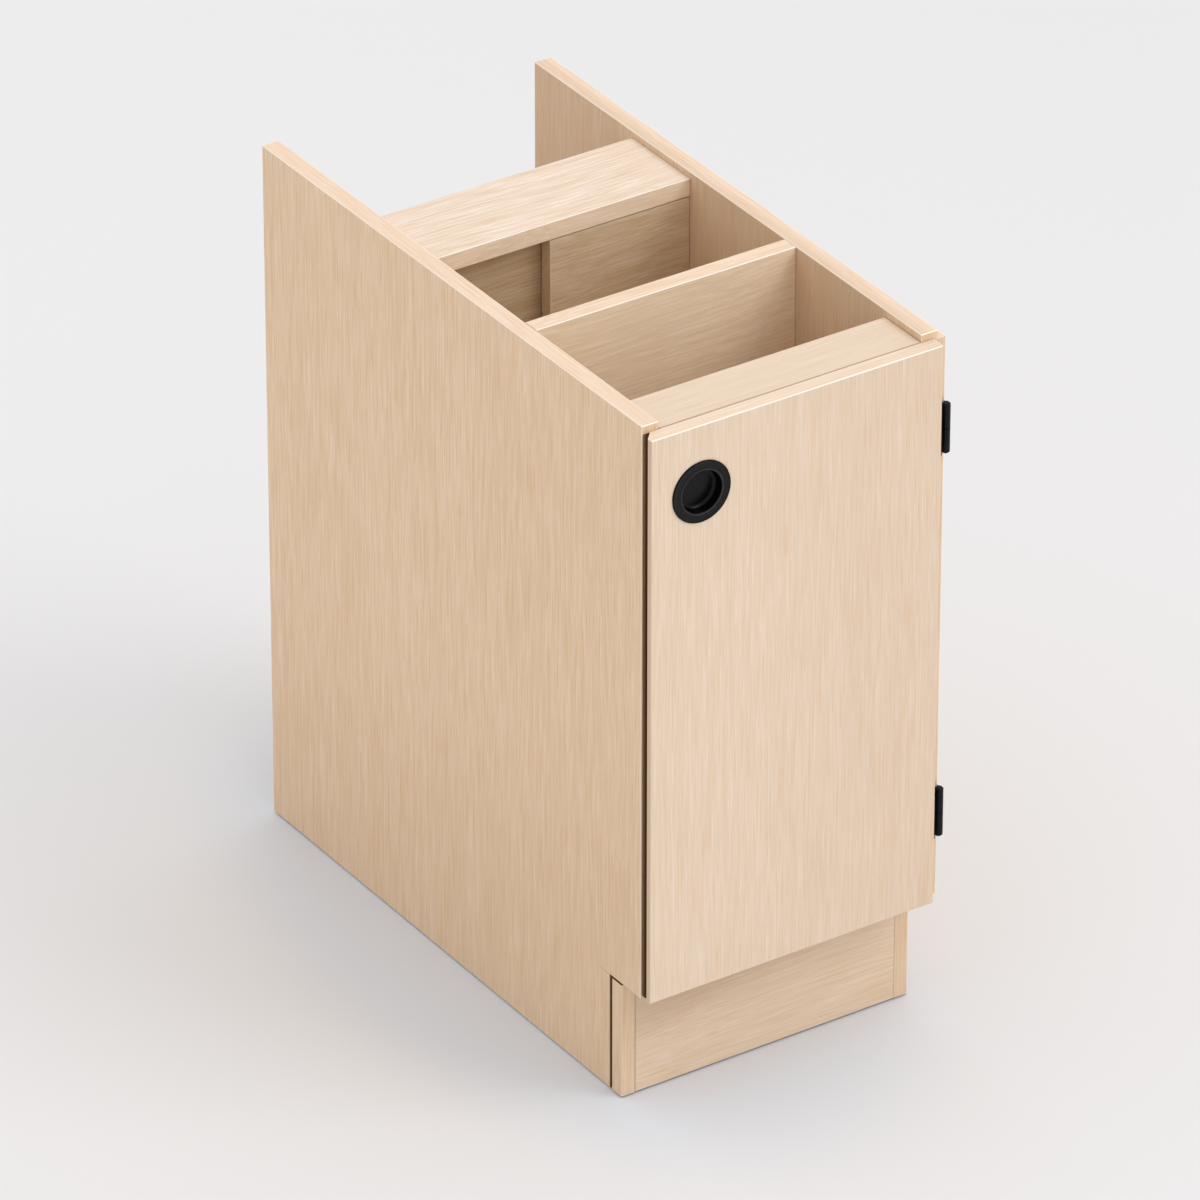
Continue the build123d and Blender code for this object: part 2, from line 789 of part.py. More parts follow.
with BuildPart() as closing_seal:
    with BuildSketch(Plane.XY.offset(door_bottom + seal_end_gap)):
        with BuildLine():
            FilletPolyline(
                (seal_left, front_y),
                (seal_left, seal_crest),
                (seal_right, seal_heel),
                (seal_right, front_y),
                radius=[seal_crest_round, seal_heel_round],
            )
            Line((seal_right, front_y), (seal_left, front_y))
        make_face()
    extrude(amount=door_top - door_bottom - 2 * seal_end_gap)
finish(closing_seal.part, "closing_seal")


# Round flush pull, in a plane through its own axis: x is the radius, y runs into the door

pull_plane = Plane(origin=(pull_x, door_front, pull_z), x_dir=rightward, z_dir=upward)
pull_axis = Axis((pull_x, door_front, pull_z), backward)

with BuildPart() as pull_rim:
    with BuildSketch(pull_plane):
        with BuildLine():
            FilletPolyline(
                (pull_mouth_radius, 0),
                (pull_mouth_radius, pull_rim_dish - pull_rim_proud),
                (pull_rim_radius, -pull_rim_proud),
                (pull_rim_radius, 0),
                radius=[pull_lip_round, pull_rim_round],
            )
            Line((pull_rim_radius, 0), (pull_mouth_radius, 0))
        make_face()
    revolve(axis=pull_axis)
finish(pull_rim.part, "pull_rim")

with BuildPart() as pull_cup:
    with BuildSketch(pull_plane):
        with BuildLine():
            FilletPolyline(
                (pull_mouth_radius, 0),
                (pull_mouth_radius, pull_recess_depth),
                (0, pull_recess_depth),
                radius=pull_recess_round,
            )
            Polyline(
                (0, pull_recess_depth),
                (0, cup_depth),
                (pull_cup_radius, cup_depth),
                (pull_cup_radius, 0),
                (pull_mouth_radius, 0),
            )
        make_face()
    revolve(axis=pull_axis)
finish(pull_cup.part, "pull_cup")


# Magnetic catch, its strike on the door, and the door's bumpers

magnet_front = door_back + magnet_gap
magnet_back = magnet_front + magnet_depth

with BuildPart() as catch_body:
    catch_left = catch_x - catch_length / 2
    catch_right = catch_x + catch_length / 2
    catch_bottom = front_rail_bottom - catch_height
    board(catch_left, catch_right, front_y, front_y + catch_depth, catch_bottom, front_rail_bottom)
    fillet(catch_body.edges().filter_by(Axis.Z), edge_radius)
    board(
        catch_x - magnet_length / 2 - fit_gap,
        catch_x + magnet_length / 2 + fit_gap,
        front_y,
        magnet_back,
        catch_z - magnet_height / 2 - fit_gap,
        catch_z + magnet_height / 2 + fit_gap,
        Mode.SUBTRACT,
    )
    screw_seats(catch_screw_heads, upward, catch_screw_length)
finish(catch_body.part, "catch_body")

with BuildPart() as catch_magnet:
    board(
        catch_x - magnet_length / 2,
        catch_x + magnet_length / 2,
        magnet_front,
        magnet_back,
        catch_z - magnet_height / 2,
        catch_z + magnet_height / 2,
    )
    chamfer(catch_magnet.faces().sort_by(Axis.Y)[0].edges(), magnet_gap)
finish(catch_magnet.part, "catch_magnet")

with BuildPart() as catch_screws:
    countersunk_screws(catch_screw_heads, upward, catch_screw_length)
finish(catch_screws.part, "catch_screws")

with BuildPart() as catch_strike:
    board(
        catch_x - strike_length / 2,
        catch_x + strike_length / 2,
        door_back - strike_thickness,
        door_back,
        catch_z - strike_height / 2,
        catch_z + strike_height / 2,
    )
    fillet(catch_strike.edges().filter_by(Axis.Y), edge_radius)
    screw_seats(strike_screw_head, forward, strike_screw_length)
finish(catch_strike.part, "catch_strike")

with BuildPart() as strike_screw:
    countersunk_screws(strike_screw_head, forward, strike_screw_length)
finish(strike_screw.part, "strike_screw")

with BuildPart() as door_bumpers:
    bumper_heights = (door_bottom + bumper_end_margin, door_top - bumper_end_margin)
    bumper_spots = [(left_x + bumper_inset, door_back, z) for z in bumper_heights]
    rods(bumper_spots, backward, bumper_radius, door_gap - bumper_gap)
finish(door_bumpers.part, "door_bumpers")


# Adjustable shelf on four pins

with BuildPart() as adjustable_shelf:
    shelf_left = inner_left + shelf_side_gap
    shelf_right = inner_right - shelf_side_gap
    shelf_front = front_y + shelf_front_setback
    shelf_top = shelf_bottom + shelf_thickness
    board(shelf_left, shelf_right, shelf_front, shelf_back, shelf_bottom, shelf_top)
    fillet(adjustable_shelf.edges().filter_by(Axis.X), edge_radius)
finish(adjustable_shelf.part, "adjustable_shelf")

with BuildPart() as shelf_pins:
    for end, inward in board_ends:
        pegs = [(end - inward * shelf_pin_peg, y, shelf_pin_z) for y in line_bore_columns]
        rods(pegs, (inward, 0, 0), line_bore_radius, 2 * shelf_pin_peg + shelf_pin_collar)
        collars = [(end, y, shelf_pin_z) for y in line_bore_columns]
        rods(collars, (inward, 0, 0), shelf_pin_collar_radius, shelf_pin_collar)
finish(shelf_pins.part, "shelf_pins")


# By-pass sliding back panels and the nylon tracks they run in

def make_track(groove):
    """The U-shaped liner of one groove in the bottom board."""
    front, back = groove
    left = inner_left + fit_gap
    right = inner_right - fit_gap
    with BuildPart() as track:
        board(left, right, front - liner_wall, back + liner_wall, bottom_top - liner_depth, bottom_top)
        board(left, right, front, back, liner_floor, bottom_top, Mode.SUBTRACT)
    return track


finish(make_track(guide_grooves[0]).part, "front_panel_track")
finish(make_track(guide_grooves[1]).part, "rear_panel_track")

panel_width = (inner_right - inner_left + panel_overlap) / 2
panel_bottom = bottom_top + panel_bottom_gap
panel_top = rear_rail_bottom - panel_top_gap
panel_travel = inner_right - inner_left - panel_width - 2 * panel_end_gap


def make_panel(left, groove, panel_front, recess_x):
    """One back panel with a running tongue along its top and bottom and a finger recess."""
    tongue_front = groove[0] + groove_side_gap
    tongue_back = groove[1] - groove_side_gap
    tongue_bottom = liner_floor + liner_floor_gap
    tongue_top = panel_top + tongue_top_height
    right = left + panel_width
    with BuildPart() as panel:
        board(left, right, panel_front, panel_front + panel_thickness, panel_bottom, panel_top)
        fillet(panel.edges().filter_by(Axis.Z), edge_radius)
        board(left, right, tongue_front, tongue_back, tongue_bottom, tongue_top)
        recess = [(recess_x, panel_front, door_top - finger_recess_from_top)]
        bore(recess, backward, finger_recess_radius, finger_recess_depth)
    return panel


right_panel_left = inner_right - panel_end_gap - panel_width
right_recess_x = inner_right - panel_end_gap - finger_recess_inset
right_panel = make_panel(right_panel_left, guide_grooves[0], right_panel_front, right_recess_x)
finish(right_panel.part, "right_back_panel")

left_panel_left = inner_left + panel_end_gap
left_recess_x = left_panel_left + finger_recess_inset
left_panel = make_panel(left_panel_left, guide_grooves[1], left_panel_front, left_recess_x)
finish(left_panel.part, "left_back_panel")
print(f"each back panel slides {panel_travel:.1f} mm")
print(f"the door turns about x {hinge_x:.2f}, y {hinge_y:.2f}")
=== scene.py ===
# %% [markdown]
# # A base cabinet in pale wood-grain board
#
# This lesson dresses a kitchen base cabinet: two tall sides, three boards across its open top, a
# door on two black lift-off hinges, a black flush pull and a set-back kick board. The shapes come
# from the construction model, so most of the work here is the finish. It begins by loading that
# model. Nothing that is loaded gets moved: new pieces and finishes are fitted to it.

# %% Load the cabinet
import bmesh
import bpy
import math
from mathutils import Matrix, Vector


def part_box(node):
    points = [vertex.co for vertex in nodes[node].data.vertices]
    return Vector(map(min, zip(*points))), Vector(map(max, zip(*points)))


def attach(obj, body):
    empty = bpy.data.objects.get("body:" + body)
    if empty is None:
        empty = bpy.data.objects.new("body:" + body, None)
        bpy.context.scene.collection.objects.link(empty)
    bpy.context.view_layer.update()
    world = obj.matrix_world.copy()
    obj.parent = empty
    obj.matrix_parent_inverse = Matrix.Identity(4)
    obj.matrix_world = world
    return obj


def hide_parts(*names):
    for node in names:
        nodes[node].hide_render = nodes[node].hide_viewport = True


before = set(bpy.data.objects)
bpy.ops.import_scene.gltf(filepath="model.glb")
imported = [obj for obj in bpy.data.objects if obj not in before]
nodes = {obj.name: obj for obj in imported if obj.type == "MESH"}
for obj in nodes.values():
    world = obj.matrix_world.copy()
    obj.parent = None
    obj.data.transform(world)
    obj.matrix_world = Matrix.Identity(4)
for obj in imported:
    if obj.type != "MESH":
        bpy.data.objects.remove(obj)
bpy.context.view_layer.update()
print("pieces loaded:", len(nodes))

# %% [markdown]
# ## Colours and small helpers
#
# Colours are easiest to choose as the 0 to 255 numbers that a paint program shows, but shaders
# work in linear light, so one helper converts them. The other helpers make nodes: each adds a node
# to a tree, sets its options and plugs in either a number or the output of another node. They keep
# the material cells short enough to read as recipes.

# %% Colour helper
def tone(red, green, blue):
    """A colour from 0 to 255 numbers, in the linear values that shaders use."""
    shares = [channel / 255.0 for channel in (red, green, blue)]
    linear = [s / 12.92 if s <= 0.04045 else ((s + 0.055) / 1.055) ** 2.4 for s in shares]
    return (*linear, 1.0)

print("a pale beech tone in linear light:", [round(v, 3) for v in tone(231, 206, 184)])

# %% Node helpers
# places of the first input, the second input and the output of a mix node, for each kind of value
MIX_PLACES = {"FLOAT": (2, 3, 0), "VECTOR": (4, 5, 1), "RGBA": (6, 7, 2)}


def plug(tree, socket, value):
    """Gives an input a link when the value is another node's output, and a number otherwise."""
    if isinstance(value, bpy.types.NodeSocket):
        tree.links.new(value, socket)
    else:
        socket.default_value = value


def add(tree, kind, values=None, **options):
    """Adds a node, sets its options and plugs its inputs by name or number."""
    made = tree.nodes.new(kind)
    for option, setting in options.items():
        setattr(made, option, setting)
    for place, value in (values or {}).items():
        plug(tree, made.inputs[place], value)
    return made


def maths(tree, operation, *numbers):
    """One step of arithmetic on numbers or outputs."""
    made = add(tree, "ShaderNodeMath", operation=operation)
    for place, number in enumerate(numbers):
        plug(tree, made.inputs[place], number)
    return made.outputs[0]


def vector_maths(tree, operation, *vectors):
    """One step of arithmetic on vectors. A dot product or a length comes back as a number."""
    made = add(tree, "ShaderNodeVectorMath", operation=operation)
    for place, vector in enumerate(vectors):
        plug(tree, made.inputs[place], vector)
    return made.outputs["Value" if operation in ("DOT_PRODUCT", "LENGTH") else "Vector"]


def split(tree, vector):
    """The X, Y and Z of a vector."""
    return add(tree, "ShaderNodeSeparateXYZ", {0: vector}).outputs


def joined(tree, *numbers):
    """One vector from three numbers or outputs."""
    return add(tree, "ShaderNodeCombineXYZ", dict(enumerate(numbers))).outputs[0]


def blend_of(tree, kind, share, first, second):
    """Mixes two numbers, vectors or colours by a share from 0 to 1."""
    first_place, second_place, out_place = MIX_PLACES[kind]
    made = add(tree, "ShaderNodeMix", {0: share, first_place: first, second_place: second},
               data_type=kind)
    return made.outputs[out_place]


def ramp(tree, value, low, high, to_low=0.0, to_high=1.0, smooth=False):
    """Maps one range of numbers to another, and holds the ends."""
    made = add(tree, "ShaderNodeMapRange", {0: value, 1: low, 2: high, 3: to_low, 4: to_high},
               interpolation_type="SMOOTHSTEP" if smooth else "LINEAR")
    return made.outputs[0]


def noise(tree, place, scale, detail=2.0, roughness=0.5):
    """Smooth random values from 0 to 1 at a place."""
    made = add(tree, "ShaderNodeTexNoise",
               {"Vector": place, "Scale": scale, "Detail": detail, "Roughness": roughness})
    return made.outputs["Fac"]


def new_group(name, inputs, outputs):
    """A shader node group with named inputs and outputs. Inputs are (name, type, value)."""
    tree = bpy.data.node_groups.new(name, "ShaderNodeTree")
    for label, kind, value in inputs:
        socket = tree.interface.new_socket(label, in_out="INPUT", socket_type=kind)
        socket.default_value = value
    for label, kind in outputs:
        tree.interface.new_socket(label, in_out="OUTPUT", socket_type=kind)
    return tree, tree.nodes.new("NodeGroupInput").outputs, tree.nodes.new("NodeGroupOutput").inputs

print("helpers ready")

# %% [markdown]
# ## Where a point lies on a board
#
# A pale line is painted along the arrises, the long edges where two faces meet: a painted highlight
# where light would catch the small rounding there. A pattern can find an arris from the board's own
# box. Of the three distances from a point to the box's nearest planes, the smallest is nearly zero
# anywhere on the surface, so the middle one tells how far the nearest arris is. A place where even
# the smallest is large is inside a drilled hole, where the bare chipboard core shows. The door
# counts as drilled only deeper down, because its back has a bevel that is banded, and a banded cut,
# such as the top of the toe notch, is left out by its cut corner. The lamp is above the front, so
# the painted highlight is strongest on the arrises that face that way. Close to a board's two ends
# along x, where it butts against a side, a fine dark joint line is painted, partly as painted shade
# in the corner there. All this works on any mesh and turns with the door, because it reads the
# piece's own coordinates. It is a group, because every board uses it with its own corners.

# %% The board_place group
FAR_AWAY = 9.0
LIT_WAY = (0.2, -0.6, 0.775)
# where the painted arris highlight begins and where it is full, by how far a face turns to LIT_WAY
PAINTED_HIGHLIGHT_FROM, PAINTED_HIGHLIGHT_TO = 0.70, 0.97
ARRIS_CORE = 0.45
JOINT_DARK, JOINT_END = 0.0005, 0.0014
CUT_BAND = 0.0006


def make_board_place():
    tree, given, result = new_group(
        "board_place",
        [("Position", "NodeSocketVector", (0, 0, 0)), ("Low corner", "NodeSocketVector", (0, 0, 0)),
         ("High corner", "NodeSocketVector", (1, 1, 1)),
         ("Cut corner", "NodeSocketVector", (FAR_AWAY, FAR_AWAY, FAR_AWAY)),
         ("Facing", "NodeSocketVector", (0, 0, 1)), ("Arris width", "NodeSocketFloat", 0.0014),
         ("Bore depth", "NodeSocketFloat", 0.0024)],
        [("Arris", "NodeSocketFloat"), ("Painted highlight", "NodeSocketFloat"), ("Bored", "NodeSocketFloat"),
         ("Joint shade", "NodeSocketFloat")])
    from_low = vector_maths(tree, "SUBTRACT", given["Position"], given["Low corner"])
    from_high = vector_maths(tree, "SUBTRACT", given["High corner"], given["Position"])
    nearest = split(tree, vector_maths(tree, "MINIMUM", from_low, from_high))
    x_way, y_way, z_way = nearest["X"], nearest["Y"], nearest["Z"]
    smaller = maths(tree, "MINIMUM", x_way, y_way)
    larger = maths(tree, "MAXIMUM", x_way, y_way)
    middle = maths(tree, "MAXIMUM", smaller, maths(tree, "MINIMUM", larger, z_way))
    least = maths(tree, "MINIMUM", smaller, z_way)
    width_shares = maths(tree, "DIVIDE", middle, given["Arris width"])
    plug(tree, result["Arris"], ramp(tree, width_shares, ARRIS_CORE, 1.0, 1.0, 0.0, smooth=True))
    # painted highlight: arrises that face the lamp are painted paler
    towards_light = vector_maths(tree, "DOT_PRODUCT", given["Facing"], LIT_WAY)
    plug(tree, result["Painted highlight"], ramp(tree, towards_light, PAINTED_HIGHLIGHT_FROM, PAINTED_HIGHLIGHT_TO, smooth=True))
    # dark joint line near the board's ends along x, partly painted shade in the corner where it
    # meets a side
    plug(tree, result["Joint shade"], ramp(tree, x_way, JOINT_DARK, JOINT_END, 1.0, 0.0, smooth=True))
    to_cut = vector_maths(tree, "SUBTRACT", given["Position"], given["Cut corner"])
    from_cut = split(tree, vector_maths(tree, "ABSOLUTE", to_cut))
    off_level = maths(tree, "MINIMUM", from_cut["X"], from_cut["Y"])
    off_cut = maths(tree, "MINIMUM", off_level, from_cut["Z"])
    deep = maths(tree, "GREATER_THAN", least, given["Bore depth"])
    plug(tree, result["Bored"],
         maths(tree, "MULTIPLY", deep, maths(tree, "GREATER_THAN", off_cut, CUT_BAND)))
    return tree

board_place = make_board_place()
print("group made:", board_place.name)

# %% [markdown]
# ## The wood grain
#
# The board's face is a printed or veneered beech: many fine streaks along the grain, a millimetre
# or two wide and a hand long, thin golden lines among them, wider and shorter soft bands, and here
# and there a darker pore. Streaks and lines come from noise whose coordinates are squeezed hard
# along the grain, and the bands from noise squeezed less. A slow sideways bend keeps them from
# being ruled lines, and on the boards that lie across, contour lines of a smooth hill make the
# pointed arches of flat-sawn wood. The grain turns on the narrow edges, so the group takes one run
# for the faces and another for the edges, and picks by the way the surface faces. It also puts
# that choice out, because the edge bands have tones of their own.

# %% The beech_grain group
BAND_RUN = (0.08, 0.08, 0.08)
BOARD_STEP = (1.37, 0.83, 2.11)
LINE_OFFSET = (0.31, 0.17, 0.23)
EDGE_FROM = 0.72
BEND_SCALE = 3.4
# scale, detail and roughness of each layer of noise
STREAK_NOISE, BAND_NOISE, CLOUD_NOISE = (660.0, 3.0, 0.65), (110.0, 2.0, 0.55), (24.0, 1.0, 0.5)
LINE_NOISE, HILL_NOISE, PORE_NOISE = (800.0, 2.0, 0.55), (16.0, 1.0, 0.4), (1100.0, 1.0, 0.5)
STREAK_SHARE, BAND_SHARE, CLOUD_SHARE = 0.72, 0.18, 0.10
CONTOURS, ARCH_HEIGHT = 150.0, 0.07
GRAIN_RANGE, LINE_RANGE = (0.34, 0.66), (0.5, 0.68)
PORE_RANGE, PORE_PIT_RANGE, PORE_PIT = (0.62, 0.74), (0.6, 0.75), 0.5


def make_beech_grain():
    tree, given, result = new_group(
        "beech_grain",
        [("Position", "NodeSocketVector", (0, 0, 0)), ("Facing", "NodeSocketVector", (0, 0, 1)),
         ("Face run", "NodeSocketVector", (1, 1, 0.03)),
         ("Edge run", "NodeSocketVector", (1, 1, 0.03)),
         ("Edge axis", "NodeSocketVector", (0, 0, 1)), ("Board number", "NodeSocketFloat", 0.0),
         ("Waviness", "NodeSocketFloat", 0.004), ("Arches", "NodeSocketFloat", 0.0)],
        [("Grain", "NodeSocketFloat"), ("Pores", "NodeSocketFloat"), ("Height", "NodeSocketFloat"),
         ("Lines", "NodeSocketFloat"), ("On edge", "NodeSocketFloat")])
    facing_edge = vector_maths(tree, "DOT_PRODUCT", given["Facing"], given["Edge axis"])
    on_edge = maths(tree, "GREATER_THAN", maths(tree, "ABSOLUTE", facing_edge), EDGE_FROM)
    run = blend_of(tree, "VECTOR", on_edge, given["Face run"], given["Edge run"])
    apart = joined(tree, *[maths(tree, "MULTIPLY", given["Board number"], step)
                           for step in BOARD_STEP])
    place = vector_maths(tree, "ADD", given["Position"], apart)
    slow = add(tree, "ShaderNodeTexNoise", {"Vector": place, "Scale": BEND_SCALE, "Detail": 1.0})
    swing = vector_maths(tree, "SUBTRACT", slow.outputs["Color"], (0.5, 0.5, 0.5))
    bend = vector_maths(tree, "MULTIPLY", swing, joined(tree, *[given["Waviness"]] * 3))
    bent = vector_maths(tree, "ADD", place, bend)
    along = vector_maths(tree, "MULTIPLY", bent, run)
    wide = vector_maths(tree, "MULTIPLY", bent, vector_maths(tree, "ADD", run, BAND_RUN))
    streaks = noise(tree, along, *STREAK_NOISE)
    bands = noise(tree, wide, *BAND_NOISE)
    clouds = noise(tree, wide, *CLOUD_NOISE)
    lines = noise(tree, vector_maths(tree, "ADD", along, LINE_OFFSET), *LINE_NOISE)
    hill = noise(tree, along, *HILL_NOISE)
    contours = maths(tree, "SINE", maths(tree, "MULTIPLY", hill, CONTOURS))
    steepness = maths(tree, "MULTIPLY", given["Arches"], ARCH_HEIGHT)
    arches = maths(tree, "MULTIPLY", contours, steepness)
    soft = maths(tree, "ADD", maths(tree, "MULTIPLY", bands, BAND_SHARE),
                 maths(tree, "MULTIPLY", clouds, CLOUD_SHARE))
    summed = maths(tree, "ADD", maths(tree, "MULTIPLY", streaks, STREAK_SHARE), soft)
    plug(tree, result["Grain"], ramp(tree, maths(tree, "ADD", summed, arches), *GRAIN_RANGE))
    pores = noise(tree, along, *PORE_NOISE)
    plug(tree, result["Pores"], ramp(tree, pores, *PORE_RANGE, smooth=True))
    pits = maths(tree, "MULTIPLY", ramp(tree, pores, *PORE_PIT_RANGE), PORE_PIT)
    plug(tree, result["Height"], maths(tree, "SUBTRACT", streaks, pits))
    plug(tree, result["Lines"], ramp(tree, lines, *LINE_RANGE, smooth=True))
    plug(tree, result["On edge"], on_edge)
    return tree

beech_grain = make_beech_grain()
print("group made:", beech_grain.name)

# %% [markdown]
# ## Bare chipboard
#
# Inside every drilled hole and on the back of the toe notch, where no band is glued, the core of
# the board shows: pressed wood chips in several browns, kept deep so that they paint the shade
# inside the holes as well. Cells of a Voronoi pattern stand for the chips. It is a group of its
# own, because every board can show it.

# %% The chip_core group
CHIP_STRETCH = (1.0, 1.0, 1.6)
CHIP_SHARE, DUST_SHARE, DUST_SCALE = 0.7, 0.3, 1400.0
# chip tones kept dark, partly painted shade inside the holes
SHADED_CHIP_DARK, SHADED_CHIP_PALE = tone(84, 58, 34), tone(146, 112, 76)


def make_chip_core():
    tree, given, result = new_group(
        "chip_core",
        [("Position", "NodeSocketVector", (0, 0, 0)), ("Chip scale", "NodeSocketFloat", 420.0)],
        [("Color", "NodeSocketColor")])
    flat = vector_maths(tree, "MULTIPLY", given["Position"], CHIP_STRETCH)
    cells = add(tree, "ShaderNodeTexVoronoi", {"Vector": flat, "Scale": given["Chip scale"]})
    shade = add(tree, "ShaderNodeSeparateColor", {0: cells.outputs["Color"]}).outputs[0]
    dust = noise(tree, given["Position"], DUST_SCALE, 3.0)
    pale = maths(tree, "ADD", maths(tree, "MULTIPLY", shade, CHIP_SHARE),
                 maths(tree, "MULTIPLY", dust, DUST_SHARE))
    plug(tree, result["Color"], blend_of(tree, "RGBA", pale, SHADED_CHIP_DARK, SHADED_CHIP_PALE))
    return tree

chip_core = make_chip_core()
print("group made:", chip_core.name)

# %% [markdown]
# ## Faces that differ
#
# One board is not one tone. The narrow flank of the door beside the gap is painted darker than its
# front, as painted shade, the back of the toe notch is left raw where no one sees it, in a tone
# dark enough to paint the shade in the gap behind the kick return too, and the saw that cut the
# notch ran a little past its corner and left a fine kerf. A board can also take painted shade that
# grows slowly from one end to the other. This group gives a mask for each: how far along a chosen
# way the point lies, whether the surface faces the flank, and whether it is in the notch or on the
# kerf.
# Boards without a notch keep it far away.

# %% The board_faces group
# where the painted shade on the door's side faces begins and where it is full
PAINTED_FLANK_FROM, PAINTED_FLANK_TO = 0.55, 0.85
NOTCH_REACH, FACES_FRONT = 0.0012, -0.3
KERF_DARK, KERF_END = 0.0002, 0.0007


def make_board_faces():
    tree, given, result = new_group(
        "board_faces",
        [("Position", "NodeSocketVector", (0, 0, 0)), ("Facing", "NodeSocketVector", (0, 0, 1)),
         ("Painted flank axis", "NodeSocketVector", (1, 0, 0)),
         ("Notch", "NodeSocketVector", (FAR_AWAY, FAR_AWAY, 0)),
         ("Painted shade axis", "NodeSocketVector", (0, 0, 1)), ("Painted shade from", "NodeSocketFloat", 0.0),
         ("Painted shade to", "NodeSocketFloat", 1.0), ("Kerf length", "NodeSocketFloat", 0.03)],
        [("Flank", "NodeSocketFloat"), ("Raw", "NodeSocketFloat"), ("Kerf", "NodeSocketFloat"),
         ("Fade", "NodeSocketFloat")])
    # painted shade on the faces that turn to the flank axis, the door's side faces
    sideways = vector_maths(tree, "DOT_PRODUCT", given["Facing"], given["Painted flank axis"])
    flank = maths(tree, "ABSOLUTE", sideways)
    plug(tree, result["Flank"], ramp(tree, flank, PAINTED_FLANK_FROM, PAINTED_FLANK_TO, smooth=True))
    place, facing, notch = [split(tree, given[label]) for label in ("Position", "Facing", "Notch")]
    # the raw back of the notch, whose dark tone is also painted shade for the gap behind the kick
    # return
    below = maths(tree, "LESS_THAN", place["Z"], notch["Z"])
    past = maths(tree, "SUBTRACT", place["Y"], notch["Y"])
    near = maths(tree, "LESS_THAN", maths(tree, "ABSOLUTE", past), NOTCH_REACH)
    forward = maths(tree, "LESS_THAN", facing["Y"], FACES_FRONT)
    in_notch = maths(tree, "MULTIPLY", below, near)
    plug(tree, result["Raw"], maths(tree, "MULTIPLY", in_notch, forward))
    level = maths(tree, "ABSOLUTE", maths(tree, "SUBTRACT", place["Z"], notch["Z"]))
    within = maths(tree, "MULTIPLY", maths(tree, "GREATER_THAN", past, 0.0),
                   ramp(tree, past, 0.0, given["Kerf length"], 1.0, 0.0))
    on_line = ramp(tree, level, KERF_DARK, KERF_END, 1.0, 0.0)
    plug(tree, result["Kerf"], maths(tree, "MULTIPLY", on_line, within))
    # painted shade that grows along a chosen way
    along = vector_maths(tree, "DOT_PRODUCT", given["Position"], given["Painted shade axis"])
    plug(tree, result["Fade"], ramp(tree, along, given["Painted shade from"], given["Painted shade to"], smooth=True))
    return tree

board_faces = make_board_faces()
print("group made:", board_faces.name)

# %% [markdown]
# ## One finish for each board
#
# Each board gets its own copy of the finish with its own number, corners and grain directions. Two
# boards cut from one sheet never match exactly, but the tones here also carry painted light and
# shade: the boards inside the cabinet and the two back panels are darker copies of the beech,
# painted shade for the inside, the left back panel being a darker board as well, and the sides are
# a warmer copy than the door, for the shade on them. The tones are the light and dark of its grain,
# and the golden lines between them keep nearly all of the red and lose blue. The Principled shader
# stays in the material itself and takes a plain number for its reflection, while colour, roughness
# and bump come from the groups. A painted shade is given as the way along which it runs, where it
# starts and where it ends.

# %% Board finish
GRAIN_LENGTH = 0.018
# the near-white tone of the painted arris highlight
ARRIS_HIGHLIGHT_TONE = tone(255, 249, 240)
# dark tone of the joint lines and the kerf, also painted shade in the gap beside the front rail
JOINT_AND_GAP_SHADE_TONE = tone(120, 88, 58)
PORE_TONE = tone(172, 130, 92)
# the tone of the painted shade
PAINTED_SHADE_TONE = tone(188, 156, 124)
# raw core of the notch back, dark enough to paint the shade in the gap behind the kick return as
# well
RAW_AND_SHADE_TONE = tone(104, 74, 46)
GRAIN_SWING = (9.0, 12.0, 16.0)
LINE_DROP = (6.0, 13.0, 23.0)
LINE_SHARE = 0.25
LINE_GAIN, PORE_GAIN, KERF_GAIN, RAW_AND_SHADE_GAIN = 0.9, 0.06, 0.6, 0.92
BOARD_ROUGH, BOARD_SMOOTH, BOARD_SPECULAR = 0.58, 0.46, 0.3
GLOSS_RANGE = (0.2, 0.8)
GRAIN_BUMP, GRAIN_DEPTH = 0.012, 0.0004


def run_along(axis):
    """Coordinates squeezed along one axis, so that noise becomes long streaks that way."""
    return tuple(GRAIN_LENGTH if name == axis else 1.0 for name in "xyz")


def shades(red, green, blue, spread=1.0):
    """The light, the dark and the golden line of a grain whose mean is the given tone."""
    middle = [m + LINE_SHARE * spread * drop for m, drop in zip((red, green, blue), LINE_DROP)]
    light, dark = [tone(*[m + way * spread * part for m, part in zip(middle, GRAIN_SWING)])
                   for way in (1, -1)]
    return light, dark, tone(*[m - spread * drop for m, drop in zip(middle, LINE_DROP)])


